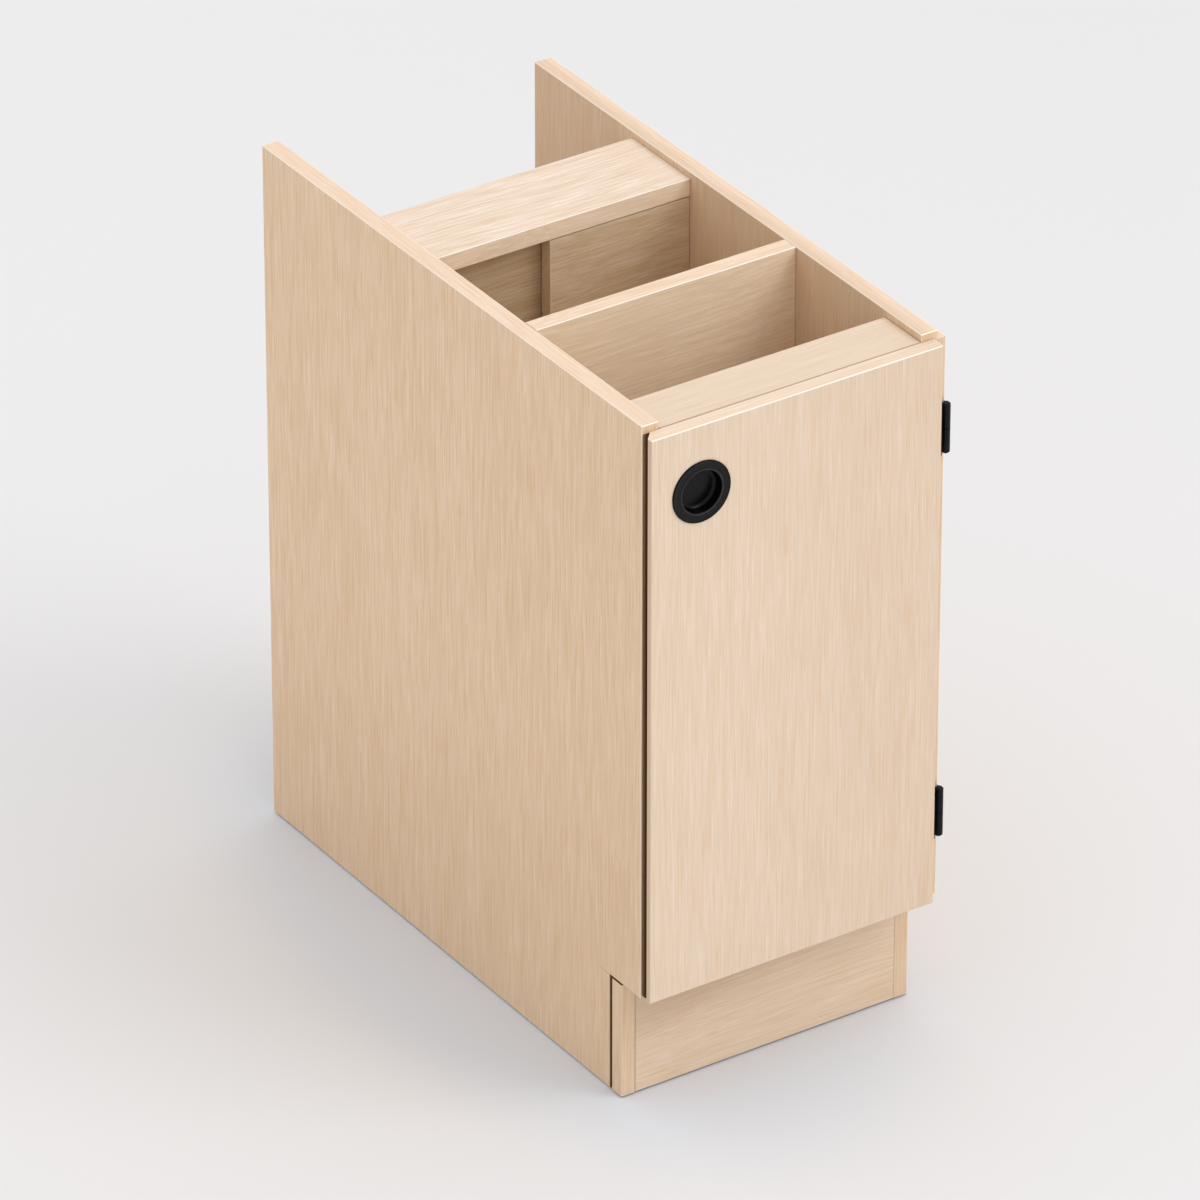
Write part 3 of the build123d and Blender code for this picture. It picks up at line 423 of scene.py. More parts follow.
def board_finish(name, number, face, edge, face_axis, edge_axis, edge_side,
                 flank=None, painted_flank_gain=0.0, fade=((0, 0, 1), 0.0, 1.0), painted_shade_gain=0.0,
                 notch=(FAR_AWAY, FAR_AWAY, 0.0), cut_corner=(FAR_AWAY, FAR_AWAY, FAR_AWAY),
                 waviness=0.005, arches=0.0, bore_depth=0.0024, painted_arris_gain=0.3, painted_highlight_gain=0.6,
                 painted_arris_tone=ARRIS_HIGHLIGHT_TONE, joint_shade_gain=0.0):
    """The finish of one board: grain, painted highlights and shade, joints and drilled holes."""
    low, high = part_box(name)
    material = bpy.data.materials.new("beech_" + name)
    material.use_nodes = True
    tree = material.node_tree
    shader = tree.nodes["Principled BSDF"]
    where = add(tree, "ShaderNodeTexCoord").outputs
    grain, spot, core, faces = [add(tree, "ShaderNodeGroup", node_tree=group)
                                for group in (beech_grain, board_place, chip_core, board_faces)]
    painted_shade_axis, painted_shade_from, painted_shade_to = fade
    for group, label, value in (
            (grain, "Position", where["Object"]), (grain, "Facing", where["Normal"]),
            (grain, "Face run", run_along(face_axis)), (grain, "Edge run", run_along(edge_axis)),
            (grain, "Edge axis", edge_side), (grain, "Board number", float(number)),
            (grain, "Waviness", waviness), (grain, "Arches", arches),
            (spot, "Position", where["Object"]), (spot, "Facing", where["Normal"]),
            (spot, "Low corner", low), (spot, "High corner", high),
            (spot, "Cut corner", cut_corner), (spot, "Bore depth", bore_depth),
            (core, "Position", where["Object"]),
            (faces, "Position", where["Object"]), (faces, "Facing", where["Normal"]),
            (faces, "Notch", notch), (faces, "Painted shade axis", painted_shade_axis),
            (faces, "Painted shade from", painted_shade_from), (faces, "Painted shade to", painted_shade_to)):
        plug(tree, group.inputs[label], value)

    def cover(colour, mask, gain, over):
        """Lays one tone over another where a mask says."""
        return blend_of(tree, "RGBA", maths(tree, "MULTIPLY", mask, gain), colour, over)

    on_edge = grain.outputs["On edge"]
    light, dark, golden = [blend_of(tree, "RGBA", on_edge, *pair) for pair in zip(face, edge)]
    colour = blend_of(tree, "RGBA", grain.outputs["Grain"], dark, light)
    colour = cover(colour, grain.outputs["Lines"], LINE_GAIN, golden)
    colour = cover(colour, grain.outputs["Pores"], PORE_GAIN, PORE_TONE)
    # painted shade that grows along the board
    colour = cover(colour, faces.outputs["Fade"], painted_shade_gain, PAINTED_SHADE_TONE)
    # painted shade on the door's side faces
    if flank:
        colour = cover(colour, faces.outputs["Flank"], painted_flank_gain, flank)
    # painted highlight along the arrises, strongest where they face the lamp; with a dark arris
    # tone it is painted shade instead
    painted_highlight = maths(tree, "MULTIPLY", spot.outputs["Painted highlight"], painted_highlight_gain)
    colour = cover(colour, spot.outputs["Arris"], maths(tree, "ADD", painted_highlight, painted_arris_gain), painted_arris_tone)
    # dark joint line at the ends, partly painted shade in the corner
    colour = cover(colour, spot.outputs["Joint shade"], joint_shade_gain, JOINT_AND_GAP_SHADE_TONE)
    colour = cover(colour, faces.outputs["Kerf"], KERF_GAIN, JOINT_AND_GAP_SHADE_TONE)
    # raw notch back, also painted shade for the gap
    colour = cover(colour, faces.outputs["Raw"], RAW_AND_SHADE_GAIN, RAW_AND_SHADE_TONE)
    colour = blend_of(tree, "RGBA", spot.outputs["Bored"], colour, core.outputs["Color"])
    plug(tree, shader.inputs["Base Color"], colour)
    height = grain.outputs["Height"]
    plug(tree, shader.inputs["Roughness"],
         ramp(tree, height, *GLOSS_RANGE, BOARD_ROUGH, BOARD_SMOOTH))
    bump = add(tree, "ShaderNodeBump",
               {"Strength": GRAIN_BUMP, "Distance": GRAIN_DEPTH, "Height": height})
    plug(tree, shader.inputs["Normal"], bump.outputs["Normal"])
    shader.inputs["Specular IOR Level"].default_value = BOARD_SPECULAR
    return material


# the sides are a warmer copy of the beech than the door, painted for the shade on them
SIDE, SIDE_TOP = shades(229, 198, 163, 1.2), shades(231, 204, 177)
DOOR, DOOR_TOP = shades(230, 206, 181, 0.85), shades(232, 208, 184)
# painted shade on the door's side faces
DOOR_FLANK_SHADE = tone(202, 172, 140)
FRONT_RAIL, RAIL = shades(222, 200, 176, 0.6), shades(228, 205, 182, 1.5)
RAIL_FACE = shades(239, 216, 189)
BEARER, BEARER_TOP = shades(242, 218, 187), shades(231, 203, 175)
# a darker copy of the beech: painted shade for the boards inside the cabinet
SHADED_INNER = shades(219, 191, 156, 1.3)
KICK, KICK_END = shades(226, 200, 171), shades(224, 194, 161)
# darker copies for the back panels: painted shade inside the cabinet, and the left back panel is
# also a darker board
SHADED_RIGHT_BACK, SHADED_LEFT_BACK = shades(206, 181, 149, 1.3), shades(193, 168, 135, 1.3)
# raw core on the top edges of the kick board and returns, dark enough to paint the shade in the
# gaps there as well
RAW_AND_SHADE_END = shades(92, 66, 40, 0.7)
UP, ACROSS, FORWARD = (0, 0, 1), (1, 0, 0), (0, 1, 0)
NOTCH_BACK, NOTCH_TOP = -0.3095, 0.150
UPRIGHT = dict(face_axis="z", edge_axis="y", edge_side=UP)
SIDEWAYS = dict(face_axis="x", edge_axis="x", joint_shade_gain=0.55, waviness=0.03, arches=0.5)
CABINET_SIDE = dict(UPRIGHT, face=SIDE, edge=SIDE_TOP, painted_arris_gain=0.42,
                    cut_corner=(FAR_AWAY, FAR_AWAY, NOTCH_TOP),
                    notch=(FAR_AWAY, NOTCH_BACK, NOTCH_TOP))
RETURN = dict(UPRIGHT, face=KICK_END, edge=RAW_AND_SHADE_END, painted_arris_gain=0.1, painted_highlight_gain=0.1)
INSIDE = dict(SIDEWAYS, face=SHADED_INNER, edge=SHADED_INNER)
SLIDING = dict(SIDEWAYS, edge_side=UP, arches=0.8, joint_shade_gain=0.0)
boards = {
    # painted shade: on the left side it grows towards the floor, on the right side it covers the
    # inside face
    "left_side": dict(CABINET_SIDE, fade=((0.0, 0.25, 1.0), 0.45, 0.1), painted_shade_gain=0.18),
    "right_side": dict(CABINET_SIDE, fade=(ACROSS, 0.182, 0.168), painted_shade_gain=0.27),
    "left_kick_return": dict(RETURN),
    "right_kick_return": dict(RETURN),
    # the door's side faces are painted darker, and painted shade grows towards its right
    "door_panel": dict(UPRIGHT, face=DOOR, edge=DOOR_TOP, edge_axis="x", flank=DOOR_FLANK_SHADE,
                       painted_flank_gain=0.75, fade=(ACROSS, -0.17, 0.17), painted_shade_gain=0.12,
                       painted_arris_gain=0.14, painted_highlight_gain=0.75, bore_depth=0.0057),
    "hinge_batten": dict(UPRIGHT, face=SIDE, edge=SIDE_TOP),
    # the front rail's arrises are painted dark: painted shade in the narrow gap between the rail
    # and the door
    "front_rail": dict(SIDEWAYS, face=FRONT_RAIL, edge=RAIL_FACE, edge_side=FORWARD, waviness=0.02,
                       painted_arris_gain=0.4, painted_highlight_gain=0.1, painted_arris_tone=JOINT_AND_GAP_SHADE_TONE),
    "rear_rail": dict(SIDEWAYS, face=RAIL, edge=RAIL_FACE, edge_side=FORWARD, painted_arris_gain=0.15),
    "cross_bearer": dict(SIDEWAYS, face=BEARER, edge=BEARER_TOP, edge_side=UP, arches=0.7),
    "bottom_board": dict(INSIDE, edge_side=FORWARD),
    "adjustable_shelf": dict(INSIDE, edge_side=FORWARD, joint_shade_gain=0.0),
    "rear_plinth_rail": dict(INSIDE, edge_side=UP),
    # painted shade grows towards the top of the kick board, under the overhang; its top edge takes
    # the dark raw tone
    "kick_board": dict(SIDEWAYS, face=KICK, edge=RAW_AND_SHADE_END, edge_side=UP, waviness=0.02, arches=0.2,
                       fade=((-0.25, 0.0, 1.0), 0.081, 0.138), painted_shade_gain=0.33,
                       painted_arris_gain=0.2, painted_highlight_gain=0.3, joint_shade_gain=0.3),
    "right_back_panel": dict(SLIDING, face=SHADED_RIGHT_BACK, edge=SHADED_RIGHT_BACK),
    "left_back_panel": dict(SLIDING, face=SHADED_LEFT_BACK, edge=SHADED_LEFT_BACK),
}
for number, (name, choices) in enumerate(boards.items(), 1):
    finish = board_finish(name, number, **choices)
    for slot in nodes[name].material_slots:
        slot.material = finish
print("boards finished:", len(boards))

# %% [markdown]
# ## Small parts
#
# The black parts have a satin coat that is never quite even, so their roughness and bump come from
# one shared group. Steel, zinc, nylon and rubber use the same group with other numbers.

# %% The satin_skin group
SPECKLE_SHARE, CLOUD_PART = 0.45, 0.55
SKIN_RANGE = (0.32, 0.68)
SKIN_BUMP, SKIN_DEPTH = 0.15, 0.0001


def make_satin_skin():
    tree, given, result = new_group(
        "satin_skin",
        [("Position", "NodeSocketVector", (0, 0, 0)), ("Speckle scale", "NodeSocketFloat", 900.0),
         ("Cloud scale", "NodeSocketFloat", 60.0), ("Smooth", "NodeSocketFloat", 0.35),
         ("Rough", "NodeSocketFloat", 0.5), ("Dark", "NodeSocketColor", tone(20, 20, 20)),
         ("Light", "NodeSocketColor", tone(30, 30, 30))],
        [("Color", "NodeSocketColor"), ("Roughness", "NodeSocketFloat"),
         ("Height", "NodeSocketFloat")])
    speckle = noise(tree, given["Position"], given["Speckle scale"], 2.0, 0.6)
    clouds = noise(tree, given["Position"], given["Cloud scale"], 3.0, 0.55)
    summed = maths(tree, "ADD", maths(tree, "MULTIPLY", speckle, SPECKLE_SHARE),
                   maths(tree, "MULTIPLY", clouds, CLOUD_PART))
    mixed = ramp(tree, summed, *SKIN_RANGE)
    plug(tree, result["Color"], blend_of(tree, "RGBA", mixed, given["Dark"], given["Light"]))
    plug(tree, result["Roughness"], blend_of(tree, "FLOAT", mixed, given["Smooth"], given["Rough"]))
    plug(tree, result["Height"], speckle)
    return tree

satin_skin = make_satin_skin()


def small_finish(name, dark, light, smooth, rough, metallic=0.0, specular=0.5,
                 speckle=900.0, clouds=60.0):
    """A finish for small parts: a tone that wanders between two colours, with uneven gloss."""
    material = bpy.data.materials.new(name)
    material.use_nodes = True
    tree = material.node_tree
    shader = tree.nodes["Principled BSDF"]
    where = add(tree, "ShaderNodeTexCoord").outputs
    skin = add(tree, "ShaderNodeGroup", node_tree=satin_skin)
    for label, value in (("Position", where["Object"]), ("Speckle scale", speckle),
                         ("Cloud scale", clouds), ("Smooth", smooth), ("Rough", rough),
                         ("Dark", dark), ("Light", light)):
        plug(tree, skin.inputs[label], value)
    plug(tree, shader.inputs["Base Color"], skin.outputs["Color"])
    plug(tree, shader.inputs["Roughness"], skin.outputs["Roughness"])
    bump = add(tree, "ShaderNodeBump",
               {"Strength": SKIN_BUMP, "Distance": SKIN_DEPTH, "Height": skin.outputs["Height"]})
    plug(tree, shader.inputs["Normal"], bump.outputs["Normal"])
    shader.inputs["Metallic"].default_value = metallic
    shader.inputs["Specular IOR Level"].default_value = specular
    return material


# name: (dark tone, light tone, roughness where smooth, roughness where rough, other choices)
finish_recipes = {
    "black_hinge_steel": ((13, 13, 13), (18, 18, 18), 0.34, 0.46, dict(specular=0.14)),
    "pin_steel": ((186, 186, 184), (214, 214, 212), 0.22, 0.36, dict(metallic=1.0)),
    "zinc_alloy": ((160, 162, 164), (190, 191, 192), 0.38, 0.55, dict(metallic=1.0)),
    "screw_steel": ((188, 186, 174), (218, 214, 200), 0.25, 0.4, dict(metallic=1.0)),
    "black_pull_plastic": ((12, 12, 12), (16, 16, 16), 0.3, 0.4, dict(specular=0.16)),
    "brown_nylon": ((92, 66, 44), (112, 84, 58), 0.45, 0.6, {}),
    "washer_nylon": ((14, 14, 14), (22, 22, 22), 0.5, 0.65, dict(specular=0.2)),
    "magnet_block": ((74, 74, 77), (96, 96, 99), 0.45, 0.6, dict(metallic=0.6)),
    "bumper_rubber": ((206, 202, 196), (222, 219, 214), 0.25, 0.4, {}),
    # a dark strip that shows the shade of the gap beside the door
    "seal_rubber": ((104, 76, 48), (122, 92, 62), 0.65, 0.8, dict(specular=0.1)),
    "glide_plastic": ((46, 38, 30), (62, 52, 42), 0.5, 0.65, {}),
    "hardwood": ((204, 172, 132), (228, 200, 164), 0.5, 0.7, dict(speckle=300.0)),
}
small_finishes = {
    name: small_finish(name, tone(*dark), tone(*light), smooth, rough, **choices)
    for name, (dark, light, smooth, rough, choices) in finish_recipes.items()}
for name, piece in nodes.items():
    if name in boards:
        continue
    for slot in piece.material_slots:
        old = slot.material.name.split(".")[0]
        if old in small_finishes:
            slot.material = small_finishes[old]
        else:
            print("no finish for", name, old)
print("small finishes:", len(small_finishes))

# %% [markdown]
# The soft seal is a dark strip set in the gap beside the door, to show the shade of that gap. It
# takes painted shade too: lighter on the side's outer edge, and darkest where it goes under the
# door.

# %% The seal's shade
# painted shade on the seal, darkest towards the door
PAINTED_SEAL_SHADE = tone(60, 38, 20)
SEAL_SHADE = (0.08, 0.45)


def shade_seal(low, high):
    """Paints shade on the seal, darker from its outer edge towards the door."""
    tree = small_finishes["seal_rubber"].node_tree
    shader = tree.nodes["Principled BSDF"]
    even = shader.inputs["Base Color"].links[0].from_socket
    where = add(tree, "ShaderNodeTexCoord").outputs["Object"]
    spot = split(tree, where)
    outer, inner = low[0] - high[1], high[0] - low[1]
    depth = ramp(tree, maths(tree, "SUBTRACT", spot["X"], spot["Y"]), outer, inner)
    share = ramp(tree, depth, *SEAL_SHADE, smooth=True)
    plug(tree, shader.inputs["Base Color"], blend_of(tree, "RGBA", share, even, PAINTED_SEAL_SHADE))
    return outer, inner

print("seal shaded over", shade_seal(*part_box("closing_seal")))

# %% [markdown]
# ## The flush pull
#
# The pull is one black moulding: a cup let into the door with a raised ring round its mouth. It is
# a turned shape, one profile carried round an axis, so the profile is drawn once, as a curve whose
# x is the distance from the axis and whose y is the depth into the door. A node tree lays a grid
# of points round the axis, and each row of the grid takes one point of the profile. Fine rings,
# like those a turning tool leaves, are added to the flat of the ring by the same tree. Sweeping
# the curve round a circle would work too, but the grid keeps every profile point exactly where it
# was drawn.

# %% Profile of the pull
PULL_WALL, HAIR = 0.0015, 0.0001
LIP_ROUND, FLOOR_ROUND, BEAD_ROUND = 0.0009, 0.0048, 0.0012
rim_low, rim_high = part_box("pull_rim")
cup_low, cup_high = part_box("pull_cup")
pull_centre = Vector(((rim_low[0] + rim_high[0]) / 2, rim_high[1], (rim_low[2] + rim_high[2]) / 2))
RIM = (rim_high[0] - rim_low[0]) / 2
CUP = (cup_high[0] - cup_low[0]) / 2
PROUD, BACK_DEPTH = rim_high[1] - rim_low[1], cup_high[1] - rim_high[1]
MOUTH, FLOOR_DEPTH = CUP - PULL_WALL, BACK_DEPTH - PULL_WALL


def arc(centre_x, centre_y, radius, start, stop, steps):
    """Points on an arc between two angles in degrees, as (distance from the axis, depth)."""
    angles = [math.radians(start + (stop - start) * k / steps) for k in range(steps + 1)]
    return [(centre_x + radius * math.cos(a), centre_y + radius * math.sin(a)) for a in angles]


def between(first, last, steps):
    """Points on a straight run, without its two ends."""
    return [tuple(a + (b - a) * k / steps for a, b in zip(first, last)) for k in range(1, steps)]


FLAT_OUT, FLAT_IN = (RIM - 0.0030, -PROUD + 0.0005), (MOUTH + 0.0031, -PROUD + 0.0008)
BEAD_END = (RIM - 0.0021, -PROUD + HAIR)
LIP_FOOT, LIP_SHOULDER = (MOUTH + 0.0024, -PROUD + 0.0004), (MOUTH + 0.0017, -PROUD + HAIR)
cup_outside = CUP - HAIR
profile = [(0.0, BACK_DEPTH - HAIR), (cup_outside, BACK_DEPTH - HAIR), (cup_outside, 0.0),
           (RIM - HAIR, 0.0)]
profile += arc(RIM - HAIR - BEAD_ROUND, -PROUD + BEAD_ROUND, BEAD_ROUND, 0, -90, 6)
profile += [BEAD_END, FLAT_OUT] + between(FLAT_OUT, FLAT_IN, 28) + [FLAT_IN, LIP_FOOT, LIP_SHOULDER]
profile += arc(MOUTH + LIP_ROUND, -PROUD + LIP_ROUND, LIP_ROUND, -90, -180, 5)
profile += between((MOUTH, -PROUD + LIP_ROUND), (MOUTH, FLOOR_DEPTH - FLOOR_ROUND), 4)
profile += arc(MOUTH - FLOOR_ROUND, FLOOR_DEPTH - FLOOR_ROUND, FLOOR_ROUND, 0, 90, 10)
profile += [(MOUTH * share, FLOOR_DEPTH) for share in (0.6, 0.4, 0.2)] + [(0.0, FLOOR_DEPTH)]
print("points in the profile:", len(profile))

# %% The turned_pull node tree
WELD_DISTANCE = 0.000002


def make_turned_pull(points):
    """A tree that carries a profile of so many points round an axis along y."""
    tree = bpy.data.node_groups.new("turned_pull", "GeometryNodeTree")
    tree.interface.new_socket("Geometry", in_out="INPUT", socket_type="NodeSocketGeometry")
    for label, kind, value in (
            ("Turns", "NodeSocketInt", 112), ("Centre", "NodeSocketVector", (0, 0, 0)),
            ("Rings inside", "NodeSocketFloat", 0.03), ("Rings outside", "NodeSocketFloat", 0.035),
            ("Ring pitch", "NodeSocketFloat", 0.002), ("Ring height", "NodeSocketFloat", 0.00004)):
        tree.interface.new_socket(label, in_out="INPUT", socket_type=kind).default_value = value
    tree.interface.new_socket("Material", in_out="INPUT", socket_type="NodeSocketMaterial")
    tree.interface.new_socket("Geometry", in_out="OUTPUT", socket_type="NodeSocketGeometry")
    given = tree.nodes.new("NodeGroupInput").outputs
    columns = maths(tree, "ADD", given["Turns"], 1.0)
    grid = add(tree, "GeometryNodeMeshGrid",
               {"Size X": 1.0, "Size Y": 1.0, "Vertices Y": points, "Vertices X": columns})
    position = add(tree, "GeometryNodeInputPosition").outputs[0]
    spot = split(tree, position)
    angle = maths(tree, "MULTIPLY", maths(tree, "ADD", spot["X"], 0.5), 2 * math.pi)
    up_the_grid = maths(tree, "MULTIPLY", maths(tree, "ADD", spot["Y"], 0.5), float(points - 1))
    row = maths(tree, "ROUND", up_the_grid)
    as_points = add(tree, "GeometryNodeCurveToMesh", {"Curve": given["Geometry"]})
    sample = add(tree, "GeometryNodeSampleIndex", data_type="FLOAT_VECTOR", domain="POINT")
    plug(tree, sample.inputs["Geometry"], as_points.outputs[0])
    plug(tree, sample.inputs["Value"], position)
    plug(tree, sample.inputs["Index"], row)
    drawn = split(tree, sample.outputs["Value"])
    turns = maths(tree, "DIVIDE", drawn["X"], given["Ring pitch"])
    wave = maths(tree, "SINE", maths(tree, "MULTIPLY", turns, 2 * math.pi))
    past_inside = maths(tree, "GREATER_THAN", drawn["X"], given["Rings inside"])
    short_of_outside = maths(tree, "LESS_THAN", drawn["X"], given["Rings outside"])
    on_flat = maths(tree, "MULTIPLY", past_inside, short_of_outside)
    in_front = maths(tree, "LESS_THAN", drawn["Y"], -HAIR)
    ridge = maths(tree, "MULTIPLY", maths(tree, "MULTIPLY", wave, given["Ring height"]),
                  maths(tree, "MULTIPLY", on_flat, in_front))
    turned = joined(tree, maths(tree, "MULTIPLY", drawn["X"], maths(tree, "COSINE", angle)),
                    maths(tree, "ADD", drawn["Y"], ridge),
                    maths(tree, "MULTIPLY", drawn["X"], maths(tree, "SINE", angle)))
    placed = vector_maths(tree, "ADD", turned, given["Centre"])
    lathe = add(tree, "GeometryNodeSetPosition",
                {"Geometry": grid.outputs["Mesh"], "Position": placed})
    closed = add(tree, "GeometryNodeMergeByDistance",
                 {"Geometry": lathe.outputs[0], "Distance": WELD_DISTANCE})
    smooth = add(tree, "GeometryNodeSetShadeSmooth", {"Geometry": closed.outputs[0]})
    real = add(tree, "GeometryNodeRealizeInstances", {"Geometry": smooth.outputs[0]})
    painted = add(tree, "GeometryNodeSetMaterial",
                  {"Geometry": real.outputs[0], "Material": given["Material"]})
    add(tree, "NodeGroupOutput", {0: painted.outputs[0]})
    return tree

turned_pull = make_turned_pull(len(profile))
print("node tree made:", turned_pull.name)

# %% [markdown]
# ## The pull's black
#
# Black mouldings show their shape by small differences, and here they are painted: the ring's flat
# is a satin grey-black, the bead round the outside is darker with painted shade, the lip round the
# mouth is paler with a painted highlight, and the cup takes painted shade that falls away into
# black. All of these follow the distance from the axis, so a group works out that distance and
# gives a mask for each zone.

# %% The turned_zones group
# distances in metres between which each zone fades out
BEAD_ZONE, LIP_ZONE = (0.0008, 0.0030), (0.0003, 0.0012)
WALL_ZONE, FLOOR_ZONE = (-0.0001, 0.0004), (-0.0062, -0.0035)
LIP_PAST_MOUTH = 0.0013


def make_turned_zones():
    tree, given, result = new_group(
        "turned_zones",
        [("Position", "NodeSocketVector", (0, 0, 0)), ("Centre", "NodeSocketVector", (0, 0, 0)),
         ("Mouth", "NodeSocketFloat", 0.0255), ("Rim", "NodeSocketFloat", 0.0375)],
        [(zone, "NodeSocketFloat") for zone in ("Bead", "Lip", "Wall", "Floor")])
    apart = vector_maths(tree, "SUBTRACT", given["Position"], given["Centre"])
    reach = vector_maths(tree, "LENGTH", vector_maths(tree, "MULTIPLY", apart, (1, 0, 1)))
    past_mouth = maths(tree, "SUBTRACT", reach, given["Mouth"])
    from_rim = maths(tree, "SUBTRACT", given["Rim"], reach)
    from_lip = maths(tree, "ABSOLUTE", maths(tree, "SUBTRACT", past_mouth, LIP_PAST_MOUTH))
    for zone, distance, limits in (
            ("Bead", from_rim, BEAD_ZONE), ("Lip", from_lip, LIP_ZONE),
            ("Wall", past_mouth, WALL_ZONE), ("Floor", past_mouth, FLOOR_ZONE)):
        plug(tree, result[zone], ramp(tree, distance, *limits, 1.0, 0.0, smooth=True))
    return tree

turned_zones = make_turned_zones()
print("group made:", turned_zones.name)

# %% Finish and make the pull
# painted shade on the bead, wall and floor of the cup; a painted highlight on the lip
ZONE_LIGHT_AND_SHADE = {"Bead": 8, "Lip": 44, "Wall": 3, "Floor": 8}
RING_MARGIN = 0.0004


def pull_finish():
    """Satin black plastic, with painted shade on the bead and in the cup and a painted highlight on
    the lip.
    """
    material = small_finish("black_pull", tone(14, 14, 14), tone(20, 20, 20), 0.24, 0.34,
                            specular=0.16, clouds=45.0)
    tree = material.node_tree
    shader = tree.nodes["Principled BSDF"]
    colour = shader.inputs["Base Color"].links[0].from_socket
    where = add(tree, "ShaderNodeTexCoord").outputs["Object"]
    zones = add(tree, "ShaderNodeGroup",
                {"Position": where, "Centre": pull_centre, "Mouth": MOUTH, "Rim": RIM},
                node_tree=turned_zones)
    for zone, grey in ZONE_LIGHT_AND_SHADE.items():
        colour = blend_of(tree, "RGBA", zones.outputs[zone], colour, tone(grey, grey, grey))
    plug(tree, shader.inputs["Base Color"], colour)
    return material


def make_pull():
    """Turns the profile into a mesh, gives it its finish and fits it to the door."""
    drawing = bpy.data.curves.new("pull_profile", "CURVE")
    drawing.dimensions = "3D"
    line = drawing.splines.new("POLY")
    line.points.add(len(profile) - 1)
    for point, (reach, depth) in zip(line.points, profile):
        point.co = (reach, depth, 0.0, 1.0)
    drawn = bpy.data.objects.new("pull_profile", drawing)
    bpy.context.scene.collection.objects.link(drawn)
    lathe = drawn.modifiers.new("lathe", "NODES")
    lathe.node_group = turned_pull
    socket = {item.name: item.identifier for item in turned_pull.interface.items_tree
              if item.in_out == "INPUT"}
    lathe[socket["Centre"]] = pull_centre
    lathe[socket["Rings inside"]] = FLAT_IN[0] + RING_MARGIN
    lathe[socket["Rings outside"]] = FLAT_OUT[0] - RING_MARGIN
    finish = pull_finish()
    lathe[socket["Material"]] = finish
    evaluated = drawn.evaluated_get(bpy.context.evaluated_depsgraph_get())
    mesh = bpy.data.meshes.new_from_object(evaluated)
    bpy.data.objects.remove(drawn)
    mesh.materials.clear()
    mesh.materials.append(finish)
    shell = bmesh.new()
    shell.from_mesh(mesh)
    bmesh.ops.recalc_face_normals(shell, faces=shell.faces)
    print("open edges in the pull:", sum(edge.is_boundary for edge in shell.edges))
    print("volume of the pull in cubic mm:", round(shell.calc_volume(signed=True) * 1e9))
    shell.to_mesh(mesh)
    shell.free()
    mesh.name = "flush_pull"
    piece = bpy.data.objects.new("flush_pull", mesh)
    bpy.context.scene.collection.objects.link(piece)
    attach(piece, "door")
    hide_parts("pull_rim", "pull_cup")
    return piece

flush_pull = make_pull()
print("pull made with", len(flush_pull.data.polygons), "faces, materials",
      [m.name for m in flush_pull.data.materials])

# %% [markdown]
# ## The studio
#
# The cabinet stands on a pale floor that runs on past the picture, with no wall behind it. The
# floor is one large disc. Round the cabinet its tone takes painted shade, darker and cooler, which
# also offsets the warm light the wood throws on it, and on the left, away from the lamp, painted
# light makes it a shade paler. The light is an even pale sky with one very large soft lamp at the
# front right, above the cabinet, so that the front is a little lighter than the left side and the
# shadow falls softly to the left and behind. Rays that go past the floor's edge see the same pale
# tone as the floor.

# %% Floor
FLOOR_RADIUS, FLOOR_SIDES = 60.0, 96
# painted light on the left of the floor, painted shade round the cabinet's feet
FLOOR_RIGHT, FLOOR_LEFT_LIT, FLOOR_NEAR_SHADE = tone(223, 222, 223), tone(227, 226, 227), tone(217, 220, 226)
FLOOR_ROUGH, FLOOR_SPECULAR = 0.85, 0.1
LEFTWARDS, LEFT_REACH = (-0.834, 0.552, 0.0), 0.7
NEAR_MIDDLE, NEAR_WIDTH, NEAR_DEPTH, NEAR_RANGE = (-0.05, 0.0, 0.0), 0.3, 0.52, (0.8, 1.25)


def make_floor():
    """A large disc with painted shade round the cabinet's feet and painted light on its left."""
    angles = [2 * math.pi * k / FLOOR_SIDES for k in range(FLOOR_SIDES)]
    points = [(FLOOR_RADIUS * math.cos(a), FLOOR_RADIUS * math.sin(a), 0.0) for a in angles]
    mesh = bpy.data.meshes.new("studio_floor")
    mesh.from_pydata(points, [], [tuple(range(FLOOR_SIDES))])
    floor = bpy.data.objects.new("studio_floor", mesh)
    bpy.context.scene.collection.objects.link(floor)
    material = bpy.data.materials.new("studio_floor")
    material.use_nodes = True
    tree = material.node_tree
    shader = tree.nodes["Principled BSDF"]
    where = add(tree, "ShaderNodeTexCoord").outputs["Object"]
    # painted light: the floor is painted paler towards the left
    leftwards = vector_maths(tree, "DOT_PRODUCT", where, LEFTWARDS)
    across = ramp(tree, leftwards, -LEFT_REACH, LEFT_REACH)
    open_floor = blend_of(tree, "RGBA", across, FLOOR_RIGHT, FLOOR_LEFT_LIT)
    from_middle = vector_maths(tree, "SUBTRACT", where, NEAR_MIDDLE)
    shares = vector_maths(tree, "MULTIPLY", from_middle, (1 / NEAR_WIDTH, 1 / NEAR_DEPTH, 0.0))
    # painted shade round the cabinet's feet
    near = ramp(tree, vector_maths(tree, "LENGTH", shares), *NEAR_RANGE, 1.0, 0.0, smooth=True)
    plug(tree, shader.inputs["Base Color"], blend_of(tree, "RGBA", near, open_floor, FLOOR_NEAR_SHADE))
    shader.inputs["Roughness"].default_value = FLOOR_ROUGH
    shader.inputs["Specular IOR Level"].default_value = FLOOR_SPECULAR
    mesh.materials.append(material)

make_floor()
print("floor radius:", FLOOR_RADIUS)

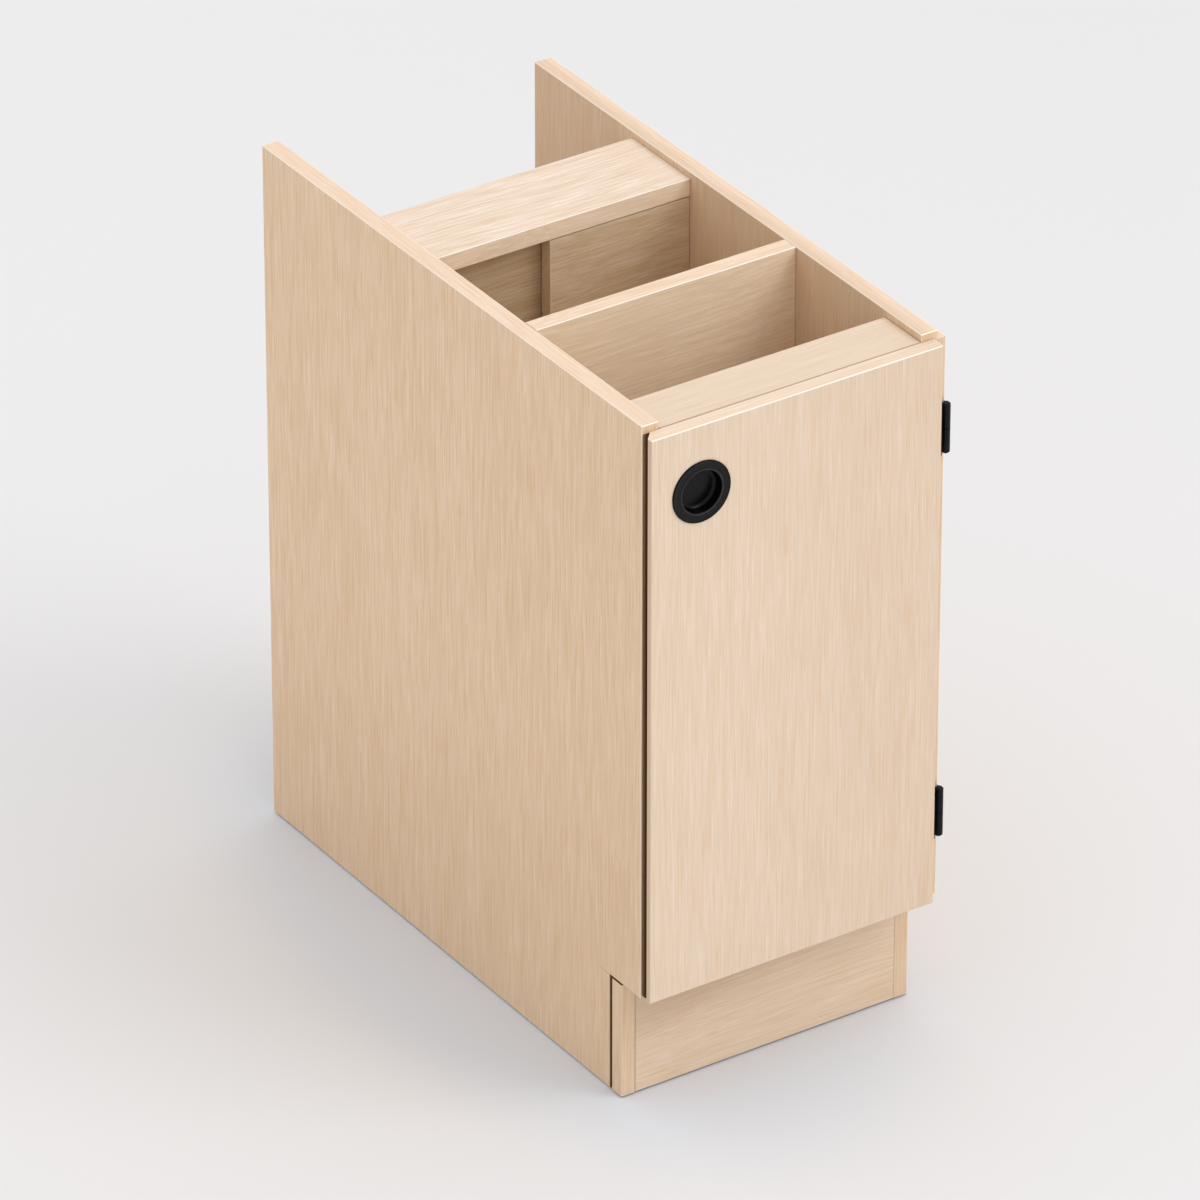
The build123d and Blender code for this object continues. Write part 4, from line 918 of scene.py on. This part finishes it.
# %% Lamp
LAMP_PLACE, LAMP_AIM = Vector((3.5, -4.5, 5.5)), Vector((0.0, 0.0, 0.45))
LAMP_SIZE, LAMP_WATTS = 3.5, 130.0
lamp_data = bpy.data.lights.new("key_lamp", "AREA")
lamp_data.shape = "SQUARE"
lamp_data.size = LAMP_SIZE
lamp_data.energy = LAMP_WATTS
lamp = bpy.data.objects.new("key_lamp", lamp_data)
lamp.location = LAMP_PLACE
lamp.rotation_euler = (LAMP_AIM - LAMP_PLACE).to_track_quat("-Z", "Y").to_euler()
bpy.context.scene.collection.objects.link(lamp)

# %% Sky
SKY_LOW, SKY_RISE = 0.68, 0.52
WHITE, BACKDROP = (1.0, 1.0, 1.0, 1.0), tone(237, 236, 236)
world = bpy.data.worlds.new("studio_sky")
bpy.context.scene.world = world
world.use_nodes = True
sky_tree = world.node_tree
sky_tree.nodes.clear()
rays = add(sky_tree, "ShaderNodeLightPath").outputs
seen = maths(sky_tree, "MAXIMUM", rays["Is Camera Ray"], rays["Is Glossy Ray"])
seen = maths(sky_tree, "MAXIMUM", seen, rays["Is Transmission Ray"])
way = add(sky_tree, "ShaderNodeTexCoord").outputs["Generated"]
height = maths(sky_tree, "MAXIMUM", split(sky_tree, way)["Z"], 0.0)
brightness = maths(sky_tree, "ADD", maths(sky_tree, "MULTIPLY", height, SKY_RISE), SKY_LOW)
lighting = add(sky_tree, "ShaderNodeBackground", {"Color": WHITE, "Strength": brightness})
backdrop = add(sky_tree, "ShaderNodeBackground", {"Color": BACKDROP, "Strength": 1.0})
chosen = add(sky_tree, "ShaderNodeMixShader",
             {0: seen, 1: lighting.outputs[0], 2: backdrop.outputs[0]})
add(sky_tree, "ShaderNodeOutputWorld", {"Surface": chosen.outputs[0]})
print("sky made:", world.name)

# %% [markdown]
# ## The camera
#
# The picture is a long-lens studio shot from above the front left corner. The camera's turn,
# height, distance and lens come from lining up twenty corners of the cabinet with their places in
# the picture.

# %% Camera
TURN, RISE, DISTANCE = math.radians(-33.539), math.radians(30.513), 12.0
AIM = Vector((-0.008972, -0.00444, 0.416108))
SENSOR_WIDTH, LENS_LENGTH, FAR_LIMIT = 36.0, 322.94, 200.0
back = Vector((math.sin(TURN) * math.cos(RISE), -math.cos(TURN) * math.cos(RISE), math.sin(RISE)))
lens_data = bpy.data.cameras.new("picture_camera")
lens_data.sensor_width = SENSOR_WIDTH
lens_data.lens = LENS_LENGTH
lens_data.clip_end = FAR_LIMIT
camera = bpy.data.objects.new("picture_camera", lens_data)
camera.location = AIM + back * DISTANCE
camera.rotation_euler = (-back).to_track_quat("-Z", "Y").to_euler()
bpy.context.scene.collection.objects.link(camera)
bpy.context.scene.camera = camera
bpy.context.scene.view_settings.view_transform = "Standard"
print("camera at", [round(v, 3) for v in camera.location])
